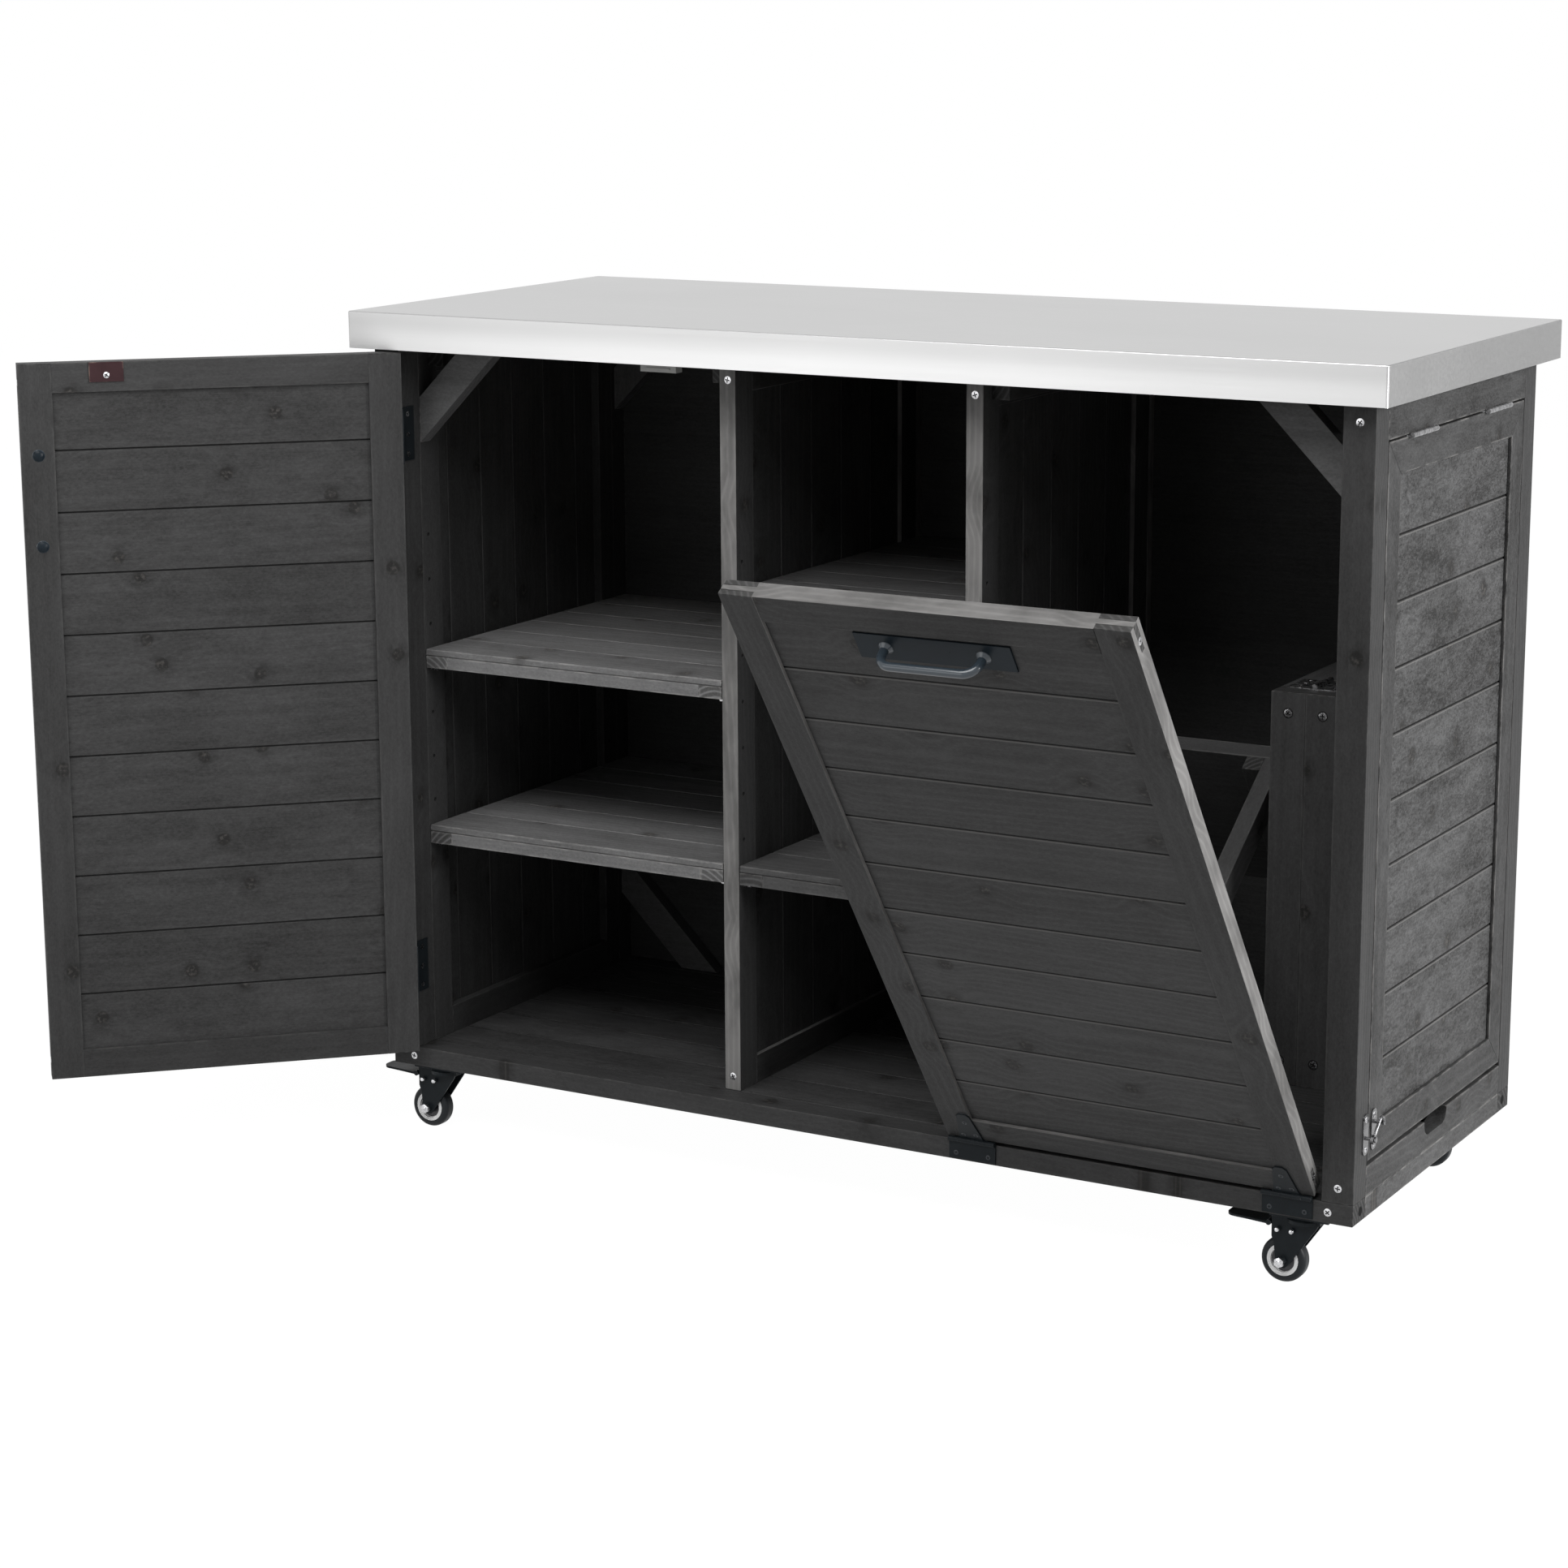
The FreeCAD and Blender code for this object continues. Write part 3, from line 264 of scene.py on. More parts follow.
# %% Stained pine
RING_SPACING = 0.0065
PITH_AWAY = 0.045
PITH_LEAN = 0.09
LATE_MEAN = 0.35
KNOT_CELL = 0.13
KNOT_SPREAD = 0.012
KNOT_EDGE = 0.0035
RIM_WIDTH = 0.0030
HALO_REACH = 0.045
SMUDGE_REACH = 0.021
END_SKIN = 0.0012
SEAM = 0.0012
WORN_WIDTH = 0.0026
BOARD_SHIFT = 37.0


def stained_pine(name, level, wear=0.5, knots=1.0, ring_depth=0.10, grain_depth=0.14, mottle=0.6,
                 seam_stain_and_shade=0.0, lip=0.0, cut=0.0):
    """Rings: distance from a leaning pith line, bent round knots. Fibres: noise stretched along the board."""
    material, shader, seed = start(name, Specular_IOR_Level=0.12)
    (along, across, deep), sizes, gaps = place_in_board(seed)
    tone = attribute(seed, "tone", 2)
    shift = tone * BOARD_SHIFT

    def stretched(lengthways, crossways, *settings):
        """Noise with so many waves a metre along and across the board, in the board's own place in it."""
        place = seed.vector(along * lengthways + shift, across * crossways, deep * crossways)
        return place.noise(1.0, *settings)

    # Knots: the nearest point of a sparse scatter over the board's face, as a distance in metres
    scatter = seed.vector(along / KNOT_CELL + shift, across / KNOT_CELL + shift * 1.7, shift)
    knot_distance = scatter.cells(1.0, dimensions="2D", randomness=0.9) * KNOT_CELL
    knot_size = seed.vector(along * 3.0 + shift, across * 3.0, shift).noise(1.0) * KNOT_SPREAD
    knot = knot_distance.step(knot_size + KNOT_EDGE, knot_size * 0.55) * knots
    rim = (knot_distance - knot_size).step(RIM_WIDTH, 0.0) * knots
    heart = seed.vector(along * 220.0, across * 220.0, shift).noise(1.0, 2.0).step(0.45, 0.7)
    halo = knot_distance.step(HALO_REACH, 0.004) * knots
    smudge = knot_distance.step(SMUDGE_REACH, 0.004) * knots
    smear = smudge * stretched(55.0, 110.0, 4.0, 0.7).step(0.36, 0.60)
    # Rings: the pith line leans along the board and sways a little, and late wood is a narrow dark wave
    sway = stretched(1.3, 2.0, 1.0) - 0.5
    pith_y = across + (tone - 0.5) * 0.11 + along * PITH_LEAN * (tone - 0.4) + sway * 0.030
    pith_z = deep + PITH_AWAY + sway * 0.020
    radius = (pith_y * pith_y + pith_z * pith_z) ** 0.5
    wobble = stretched(9.0, 30.0, 2.0) - 0.5
    phase = (radius + halo * 0.010 + wobble * 0.0035) * (math.tau / RING_SPACING)
    late = (phase.sine() * 0.5 + 0.5) ** 3.0
    # Fibres and pores run along the board; blotches, specks and rubs are where the stain took unevenly
    fibre = stretched(14.0, 900.0, 3.0, 0.6)
    streak = stretched(3.0, 110.0, 2.0)
    pores = stretched(60.0, 1600.0, 1.0).step(0.62, 0.76)
    speck = stretched(240.0, 420.0, 2.0, 0.7)
    blotch = seed.vector(along * 7.0 + shift, across * 16.0, deep * 16.0 + shift).noise(1.0, 3.0, 0.55)
    rubs = seed.vector(along * 34.0, across * 75.0 + shift, deep * 75.0).noise(1.0, 4.0, 0.65, 0.8)
    # How light the stained wood is; the ends of a board drink more stain and show stronger rings
    end_grain = gaps[0].step(END_SKIN, END_SKIN - 0.0004)
    lightness = 1.0 + (late - LATE_MEAN) * (ring_depth + end_grain * 1.5) + (fibre - 0.5) * grain_depth * 2.2
    lightness = lightness + (streak - 0.5) * 0.55 + (blotch - 0.5) * (0.4 + mottle) + (tone - 0.5) * 0.30
    lightness = lightness + (speck - 0.5) * (0.3 + mottle * 1.5) + (rubs - 0.5) * mottle * 1.1
    lightness = lightness * (1.0 - pores * 0.22) * (1.0 - smear * 0.66) * (1.0 - end_grain * 0.34)
    body = (lightness * 0.46).mix(grey(level * 0.36, 0.02), grey(level * 1.75, 0.0, 0.01))
    body = (rim * 0.62).mix(body, grey(level * 0.30, 0.05))
    body = (knot * heart * 0.7).mix(body, grey(level * 1.6, 0.06))
    # Edges are rubbed pale in places
    scuff = stretched(40.0, 90.0, 3.0, 0.65).step(0.40, 0.66)
    worn = edge_distance(gaps).step(WORN_WIDTH, 0.0003) * scuff * wear
    body = worn.mix(body, grey(level * 4.2, 0.03))
    if cut:
        # Faces trimmed after the stain went on stay pale, in patches
        trimmed = gaps[1].step(0.0004, 0.0001).most(end_grain * 0.16)
        patches = stretched(11.0, 30.0, 4.0, 0.6).step(0.30, 0.66)
        pale = patches.mix(grey(level * cut * 0.62, 0.02), grey(level * cut * 1.18, 0.02))
        body = (trimmed * (0.88 + (late - LATE_MEAN) * 0.22)).least(1.0).mix(body, pale)
    upper = sizes[1] - across
    lower = sizes[1] + across
    if seam_stain_and_shade:
        # Stain in the grooves between boards, and painted shade there, strongest under each board's lower edge
        # where the chamfer faces down
        groove_stain_and_shade = upper.step(SEAM, SEAM * 0.5).most(lower.step(SEAM * (1 + lip), SEAM * (0.5 + lip)))
        body = (groove_stain_and_shade * seam_stain_and_shade).mix(body, grey(level * 0.12))
    if lip:
        # Painted highlight: the upper edge of each board faces the light, so its rounding gets a pale line
        shine = upper.step(0.0031, 0.0021) * upper.step(0.0006, 0.0013) * lip
        body = shine.mix(body, grey(level * 2.6, 0.02))
    feed(shader, "Base Color", body)
    feed(shader, "Roughness", 0.56 + (fibre - 0.5) * 0.24 - late * 0.08 + pores * 0.10)
    height = late * ring_depth * 1.4 + fibre * 0.55 - pores * 0.55 - rim * 0.5 + streak * 0.25
    feed(shader, "Normal", seed.bump(height, 0.42, 0.0006))
    return material


# %% The timber's finishes
WEATHERED = {"wear": 0.6, "ring_depth": 0.06, "grain_depth": 0.34, "mottle": 1.5}
PINE = stained_pine("stained_pine", 0.038, 0.15)
PINE_CUT = stained_pine("stained_pine_cut_edges", 0.039, 0.10, cut=4.6)
PINE_SIDE = stained_pine("stained_pine_side", 0.045, **WEATHERED)
PINE_BRACE = stained_pine("stained_pine_inner", 0.084, 0.3)
BASE_SIDE = stained_pine("stained_base_side", 0.062, **WEATHERED)
BOARDS = stained_pine("stained_boards", 0.045, 0.1, grain_depth=0.18, seam_stain_and_shade=0.85, lip=0.8)
INNER_BOARDS = stained_pine("stained_boards_inner", 0.042, 0.05, 1.0, 0.14, 0.26, 0.9, seam_stain_and_shade=0.85)
SIDE_BOARDS = stained_pine("stained_side_boards", 0.053, 0.4, 1.0, 0.03, 0.34, 2.6, seam_stain_and_shade=0.9, lip=0.7)
SHELF = stained_pine("stained_shelf", 0.148, 0.2)
SHELF_MIDDLE = stained_pine("stained_shelf_middle", 0.066, 0.2)
PLY = stained_pine("stained_panel", 0.034, wear=0.3, knots=0.0)
print("timber finishes:", len(bpy.data.materials))

# %% [markdown]
# ## Brushed stainless steel
# The worktop's sheet has been drawn over an abrasive belt, so it is covered with fine lines along its
# length. The lines are noise squeezed across and stretched along the brushing, used for roughness and a
# very shallow bump. A few faint wiping smears change the roughness only. The front skirt's two halves
# get painted light in their colour: a darker painted shade above and a brighter painted reflection below.

# %% Brushed steel
FINE_LINES = 2600.0
BROAD_LINES = 240.0
SKIRT_PAINTED_LIGHT_BLEND = 0.012


def brushed_steel(name, level=0.50, rough=0.34):
    """Brushing: noise with a long axis along X, on Object coordinates."""
    material, shader, seed = start(name, Metallic=1.0, Anisotropic=0.35)
    x, y, z = object_place(seed).parts()
    fine = seed.vector(x * 6.0, y * FINE_LINES, z * FINE_LINES).noise(1.0, 2.0, 0.6)
    broad = seed.vector(x * 1.5, y * BROAD_LINES, z * BROAD_LINES).noise(1.0, 3.0, 0.6)
    smear = seed.vector(x * 4.0, y * 7.0, z * 7.0).noise(1.0, 3.0, 0.55, 0.6)
    # Painted reflection and shade: the front skirt's lower half is painted brighter, its upper half darker
    along, across, deep = attribute(seed, "grain").parts()
    front = (across + attribute(seed, "half").parts()[1]).step(0.0012, 0.0006)
    lower_half_painted_light = deep.step(SKIRT_PAINTED_LIGHT_BLEND, -SKIRT_PAINTED_LIGHT_BLEND)
    shade = (fine * 0.5 + broad * 0.5).mix(grey(level * 0.86), grey(level * 1.12))
    shade = (front * (1.0 - lower_half_painted_light) * 0.5).mix(shade, grey(level * 0.82))
    shade = (front * lower_half_painted_light * 0.5).mix(shade, grey(level * 1.24))
    feed(shader, "Base Color", shade)
    feed(shader, "Roughness", rough + (fine - 0.5) * 0.16 + (broad - 0.5) * 0.12 + (smear - 0.5) * 0.05)
    feed(shader, "Normal", seed.bump(fine * 0.6 + broad * 0.4, 0.10, 0.0002))
    return material


STEEL = brushed_steel("brushed_stainless")
print("steel brushed with", FINE_LINES, "fine lines a metre")

# %% [markdown]
# ## Powder coat, zinc and the small metals
# The pull handles, T-hinges and caster forks are coated in a blue-black powder, which has a very fine
# orange-peel skin. The flap's hinges and hook are galvanised: cells of zinc with slightly different
# tone. Screws, nuts and pins are plain bright zinc, with a little grime in the low places.

# %% Powder coat
PLATE_THICK = 0.0021
COAT_SPREAD = (0.72, 1.45)


def scaled(colour, share):
    """A colour made darker or lighter; its last number stays 1."""
    return tuple(c * share for c in colour[:3]) + (1.0,)


def powder_coat(name, colour, rough=0.40, wear_and_sheen_colour=(0.20, 0.21, 0.22, 1.0), shine=0.10, grip_wear_and_sheen=0.0):
    """Orange peel: two sizes of round noise as bump. The edges are rubbed brighter, and on a handle the bar is
    paler, partly from wear and partly as a painted sheen.
    """
    material, shader, seed = start(name, Specular_IOR_Level=shine, Coat_Roughness=0.14)
    spot = object_place(seed)
    peel = spot.noise(900.0, 2.0)
    dust = spot.noise(60.0, 4.0, 0.65)
    (along, across, deep), sizes, gaps = place_in_board(seed)
    rubbed = edge_distance(gaps).step(0.0012, 0.0002) * dust.step(0.5, 0.7) * 0.55
    coat = rubbed.mix(dust.mix(*(scaled(colour, share) for share in COAT_SPREAD)), wear_and_sheen_colour)
    if grip_wear_and_sheen:
        # The plate is the handle's thin inner end; the rest of it is paler, partly worn by hands and partly a
        # painted sheen
        bar = (sizes[2] - deep).step(PLATE_THICK, PLATE_THICK + 0.0009)
        coat = (bar * grip_wear_and_sheen).mix(coat, wear_and_sheen_colour)
        feed(shader, "Coat Weight", bar)
    feed(shader, "Base Color", coat)
    feed(shader, "Roughness", rough + (dust - 0.5) * 0.30 + (peel - 0.5) * 0.08)
    feed(shader, "Normal", seed.bump(peel, 0.16, 0.0003))
    return material


# Handle bar colour: partly wear from hands, partly a painted sheen
GRIP_WEAR_AND_SHEEN = (0.032, 0.044, 0.056, 1.0)
BARE = (0.30, 0.22, 0.18, 1.0)
BLACK = powder_coat("blue_black_powder_coat", (0.010, 0.0125, 0.0145))
HANDLE = powder_coat("slate_powder_coat", (0.009, 0.0135, 0.018), 0.34, GRIP_WEAR_AND_SHEEN, grip_wear_and_sheen=0.8)
DULL = powder_coat("black_screws", (0.020, 0.024, 0.028), 0.34, shine=0.3)
BRONZE = powder_coat("bronzed_plate", (0.034, 0.017, 0.019), 0.42, BARE)
print("finishes so far:", len(bpy.data.materials))


# %% Galvanised steel and bright zinc
def galvanised(name, level, cell=340.0, rough=0.30):
    """Spangle: each cell of a scatter gets its own tone; scratches are thin stretched noise."""
    material, shader, seed = start(name, Metallic=1.0)
    spot = object_place(seed)
    tint = spot.cells(cell, out=1).parts()[0]
    grime = spot.noise(120.0, 4.0, 0.7)
    scratch = spot.noise(700.0, 2.0, 0.5, 1.5).step(0.60, 0.72)
    tone = tint * 0.45 + grime * 0.55
    feed(shader, "Base Color", tone.mix(grey(level * 0.50, 0.0, 0.03), grey(level * 1.55, 0.0, 0.02)))
    feed(shader, "Roughness", rough + (tint - 0.5) * 0.16 + (grime - 0.5) * 0.20 + scratch * 0.10)
    feed(shader, "Normal", seed.bump(grime * 0.7 + scratch * 0.3, 0.18, 0.0003))
    return material


ZINC = galvanised("galvanised_steel", 0.40)
# The latch gets the same galvanised steel at about half the level: a painted shade, so it mirrors the white world
# less
LATCH_SHADED_ZINC = galvanised("galvanised_latch_painted_shade", 0.19, rough=0.28)
BRIGHT = galvanised("bright_zinc", 0.52, 900.0, 0.26)
print("finishes so far:", len(bpy.data.materials))

# %% [markdown]
# ## Rubber, plastic and board
# Tyres, the catch's case and the board under the worktop are plain materials whose tone drifts with
# handling, so they share one function. A wheel has a pale rim round a dark dish, moulded as one piece:
# it needs no second mesh, only the distance from the axle.

# %% Rubber, plastic and board
RIM_STARTS = 0.0128


def speckled(name, colour, rough, grain=500.0, depth=0.12, spread=0.30, **constants):
    """Fine noise for tone and bump, and slower noise for handling marks."""
    material, shader, seed = start(name, **constants)
    spot = object_place(seed)
    fine = spot.noise(grain, 3.0, 0.6)
    slow = spot.noise(26.0, 4.0, 0.6)
    shade = (fine * 0.4 + slow * 0.6).mix(scaled(colour, 1.0 - spread), scaled(colour, 1.0 + spread))
    feed(shader, "Base Color", shade)
    feed(shader, "Roughness", rough + (slow - 0.5) * 0.24)
    feed(shader, "Normal", seed.bump(fine, depth, 0.0004))
    return material


def wheel_plastic(name):
    """A pale rim round a dark dish: the distance from the wheel's axis picks one or the other."""
    material, shader, seed = start(name)
    across_x, across_z, deep = attribute(seed, "grain").parts()
    radius = (across_x * across_x + across_z * across_z) ** 0.5
    fine = attribute(seed, "grain").noise(700.0, 3.0)
    pale = fine.mix(grey(0.66), grey(0.82))
    dark = fine.mix(grey(0.010, 0.0, 0.3), grey(0.022, 0.0, 0.3))
    feed(shader, "Base Color", radius.step(RIM_STARTS, RIM_STARTS + 0.0006).mix(dark, pale))
    feed(shader, "Roughness", 0.34 + (fine - 0.5) * 0.2)
    feed(shader, "Normal", seed.bump(fine, 0.08, 0.0003))
    return material


HUB = wheel_plastic("two_tone_hub")
RUBBER = speckled("tyre_rubber", (0.010, 0.012, 0.014), 0.46, Specular_IOR_Level=0.2)
# Near-black for the insides of screw pits and sunk holes: a painted shade where the recess falls in shadow
RECESS_SHADE = speckled("screw_hole_shadow", (0.006, 0.006, 0.006), 0.8, Specular_IOR_Level=0.1)
# The catch's case is lowered to a mid grey: a painted shade for its place under the worktop
SHADED_CASE = speckled("catch_case", (0.30, 0.30, 0.29), 0.48, 900.0, 0.06, 0.10)
BOARD = speckled("core_board", (0.24, 0.17, 0.10), 0.8, 260.0, 0.3, 0.30)
print("finishes:", len(bpy.data.materials))

# %% [markdown]
# ## Telling the boards apart
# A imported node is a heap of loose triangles, solid after solid. Every closed solid uses each of its edges
# twice, once in each direction. So give every edge a random number, positive one way and negative the
# other, and add the numbers up triangle by triangle: the running total is back at zero exactly where a
# solid is complete.

# %% Split a node into its solids
MICRON = 1e-6
NUMBERS_BELOW = 2 ** 60


def solids_of(node):
    """Welded corners (N,3), triangles (M,3), each triangle's solid and each corner's solid."""
    mesh = NODES[node].data
    mesh.calc_loop_triangles()
    corners = np.zeros(len(mesh.vertices) * 3)
    mesh.vertices.foreach_get("co", corners)
    corners = corners.reshape(-1, 3)
    faces = np.zeros(len(mesh.loop_triangles) * 3, np.int64)
    mesh.loop_triangles.foreach_get("vertices", faces)
    faces = faces.reshape(-1, 3)
    keys = np.round(corners / MICRON).astype(np.int64)
    unique, index = np.unique(keys, axis=0, return_inverse=True)
    welded = index.reshape(-1)[faces]
    random = np.random.default_rng(7).integers(1, NUMBERS_BELOW, size=(2, len(unique)), dtype=np.int64)
    first = welded[:, [0, 1, 2]]
    second = welded[:, [1, 2, 0]]
    number = random[0][np.minimum(first, second)] ^ random[1][np.maximum(first, second)]
    total = np.cumsum(np.where(first < second, number, -number).sum(1))
    ends = np.nonzero(total == 0)[0]
    solid = np.searchsorted(ends, np.arange(len(welded)))
    # Weld inside each solid only, so boards that touch stay apart
    pairs = solid[:, None] * len(unique) + welded
    kept, flat = np.unique(pairs.reshape(-1), return_inverse=True)
    places = np.zeros((len(unique), 3))
    places[index.reshape(-1)] = corners
    return places[kept % len(unique)], flat.reshape(-1, 3), solid, kept // len(unique)


print("solids in the tilt-out door's boards:", len(np.unique(solids_of("tilt_door_boards")[3])))

# %% [markdown]
# ## Dressing a node
# A dressed piece is a copy of its node, welded, with flat triangles joined into faces and a narrow bevel
# on its long edges: no real edge is a perfect corner, and the bevel catches the light. Each corner also
# stores where it lies along, across and through its own board, the board's half sizes and a random tone.
# The directions come from the body's own frame at rest, because the two open doors are turned.

# %% Find each body's turn at rest
def body_turns():
    """The rotation of the two open doors from shut to rest; every other body stands square."""
    joints = {j["name"]: j for j in frame["joints"]}
    swing = math.radians(-joints["left_door_swing"]["range_deg"][1])
    tip = math.radians(-joints["tilt_door_swing"]["range_deg"][0])
    turns = {}
    c, s = math.cos(swing), math.sin(swing)
    turns["left_door"] = np.array([[c, -s, 0.0], [s, c, 0.0], [0.0, 0.0, 1.0]])
    c, s = math.cos(tip), math.sin(tip)
    turns["tilt_door"] = np.array([[1.0, 0.0, 0.0], [0.0, c, -s], [0.0, s, c]])
    return turns


TURNS = body_turns()
print("turned bodies:", sorted(TURNS))

# %% Dress a node
FLAT_WITHIN = math.radians(0.2)
SHARP_OVER = math.radians(40.0)
SMOOTH_BELOW = math.radians(30.0)
LONG_EDGE = 10


def join_flat_faces(mesh, edge, rim):
    """Join coplanar triangles; mark the long sharp edges for the bevel, and the top rim for a wider one."""
    work = bmesh.new()
    work.from_mesh(mesh)
    bmesh.ops.dissolve_limit(work, angle_limit=FLAT_WITHIN, verts=work.verts, edges=work.edges)
    weight = work.edges.layers.float.new("bevel_weight_edge")
    top = max(corner.co.z for corner in work.verts)
    for line in work.edges:
        sharp = len(line.link_faces) == 2 and line.calc_face_angle(0.0) > SHARP_OVER
        if edge and sharp and line.calc_length() > LONG_EDGE * edge:
            line[weight] = edge / max(edge, rim)
        if rim and sharp and min(corner.co.z for corner in line.verts) > top - 10 * MICRON:
            line[weight] = 1.0
    work.to_mesh(mesh)
    work.free()


def board_places(node, places, owner):
    """Each corner's place in its own solid's box, that box's half sizes, longest first, and a random tone."""
    local = places @ TURNS.get(BODY_OF[node], np.eye(3))
    grain = np.zeros_like(local)
    half = np.zeros_like(local)
    tone = np.zeros(len(local))
    lucky = np.random.default_rng(sum(map(ord, node)))
    for piece in np.unique(owner):
        mine = owner == piece
        low = local[mine].min(0)
        high = local[mine].max(0)
        order = np.argsort(low - high)
        grain[mine] = (local[mine] - (low + high) / 2)[:, order]
        half[mine] = ((high - low) / 2)[order]
        tone[mine] = lucky.random()
    return grain, half, tone


def dress(node, finish, edge, only=None, name=None, rim=0.0):
    """A beveled copy of a node, or of some of its solids, with its board attributes, in the node's stead."""
    places, faces, solid, owner = solids_of(node)
    if only is not None:
        keep = np.isin(solid, only)
        used, flat = np.unique(faces[keep].reshape(-1), return_inverse=True)
        places, faces, owner = places[used], flat.reshape(-1, 3), owner[used]
    grain, half, tone = board_places(node, places, owner)
    mesh = bpy.data.meshes.new((name or node) + "_mesh")
    mesh.from_pydata(places.tolist(), [], faces.tolist())
    for label, values in (("grain", grain), ("half", half)):
        mesh.attributes.new(label, "FLOAT_VECTOR", "POINT").data.foreach_set("vector", values.reshape(-1))
    mesh.attributes.new("tone", "FLOAT", "POINT").data.foreach_set("value", tone)
    join_flat_faces(mesh, edge, rim)
    mesh.materials.append(finish)
    piece = bpy.data.objects.new(name or node + "_dressed", mesh)
    bpy.context.scene.collection.objects.link(piece)
    if edge:
        bevel = piece.modifiers.new("soft edges", "BEVEL")
        bevel.width = max(edge, rim)
        bevel.segments = 3 if rim else 2
        bevel.limit_method = "WEIGHT"
        bevel.use_clamp_overlap = False
        bevel.harden_normals = True
    mesh.shade_smooth()
    mesh.set_sharp_from_angle(angle=SMOOTH_BELOW)
    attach(piece, BODY_OF[node])
    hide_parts(node)
    return piece


# %% [markdown]
# ## The timber
# All of it is the same pine, but each place has aged its own way. The flap and the rails beside it stood
# in the weather, the shelves were rubbed pale by what stood on them, and the frames of the dividers and
# the tilt-out door were trimmed after staining. So a node's name picks its finish.

# %% Dress the timber
TIMBER_EDGE = 0.0007
INSIDE_EDGE = 0.0003
BASE_SOLIDS = 8
BASE_SIDE_RAIL = 3
FINISH_OF_SLOT = {"stained_pine": PINE, "stained_plywood": PLY, "core_board": BOARD, "stainless_sheet": STEEL,
                  "black_hardware": BLACK, "galvanised_steel": ZINC, "zinc_screws": BRIGHT,
                  "catch_case": SHADED_CASE, "bronzed_plate": BRONZE}
SIDE_NODES = ("flap_boards", "flap_frame", "upper_side_rail", "lower_side_board")
CUT_NODES = ("tilt_door_frame", "divider_left_frame", "divider_right_frame")
INSIDE_STARTS = ("shelf_", "divider_left_b", "divider_right_b", "left_side_b", "left_door")


def timber_finish(node):
    """The finish that a node's place on the cart calls for; the later rules win over the earlier ones."""
    finish = FINISH_OF_SLOT[SLOT_OF[node]]
    if node in SIDE_NODES:
        finish = PINE_SIDE
    if node in CUT_NODES:
        finish = PINE_CUT
    if node.endswith("_boards"):
        finish = SIDE_BOARDS if node in SIDE_NODES else INNER_BOARDS
    if node == "tilt_door_boards":
        finish = BOARDS
    if node.startswith("shelf_") and finish is PINE:
        finish = SHELF if "left" in node else SHELF_MIDDLE
    if "brace" in node:
        finish = PINE_BRACE
    return finish


timber = [n for n in NODES if SLOT_OF[n] in ("stained_pine", "stained_plywood", "core_board")]
for node in timber:
    if node == "base_frame":
        # Its right side rail has weathered with the flap above it
        others = [k for k in range(BASE_SOLIDS) if k != BASE_SIDE_RAIL]
        dress(node, BASE_SIDE, TIMBER_EDGE, only=[BASE_SIDE_RAIL], name="base_frame_side")
        dress(node, PINE, TIMBER_EDGE, only=others)
    else:
        dress(node, timber_finish(node), INSIDE_EDGE if node.startswith(INSIDE_STARTS) else TIMBER_EDGE)
print("timber pieces:", len(timber))

# %% [markdown]
# ## The metal and the wheels
# Hinges, handles, forks and latch keep their solids' shapes, with an edge as fine as a file leaves. The
# worktop's sheet is folded, so its top rim gets a wider, rounder bevel. A wheel's tyre and hub are two
# solids of one node: each becomes a piece of its own, because each needs its own material.

# %% Dress the metal
METAL_EDGE = 0.0003
SHEET_RIM = 0.0016
plain = ("stained_pine", "stained_plywood", "core_board", "caster_wheel")
metal = [n for n in NODES if SLOT_OF[n] not in plain and n != "body_screws"]
for node in metal:
    finish = HANDLE if node.endswith("handle") else FINISH_OF_SLOT[SLOT_OF[node]]
    rim = SHEET_RIM if node == "worktop_skin" else 0.0
    dress(node, LATCH_SHADED_ZINC if node.startswith("latch") else finish, METAL_EDGE, rim=rim)
print("metal pieces:", len(metal))

# %% Dress the wheels
wheels = [n for n in NODES if SLOT_OF[n] == "caster_wheel"]
for node in wheels:
    dress(node, RUBBER, 0.0, only=[0], name=node + "_tyre")
    dress(node, HUB, 0.0, only=[1], name=node + "_hub")
print("wheels:", len(wheels))

# %% [markdown]
# ## Screws, rivets and nuts
# Every hinge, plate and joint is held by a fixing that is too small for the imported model, or only a plain
# disc in it. A screw head here is a square grid squeezed onto a disc, with grid lines set close together
# where the walls of its cross are. Rivets and nuts are profiles spun round an axis, a nut with six sides.

# %% A cross-head screw
CROSS_LINES = np.array([-1.0, -0.92, -0.62, -0.56, -0.34, -0.17, -0.11,
                        0.11, 0.17, 0.34, 0.56, 0.62, 0.92, 1.0])
ARM_HALF_WIDTH = 0.14
ARM_REACH = 0.59
CROSS_DEPTH = 0.34
SHANK_SHARE = 0.45
NECK_DEPTH = 0.6


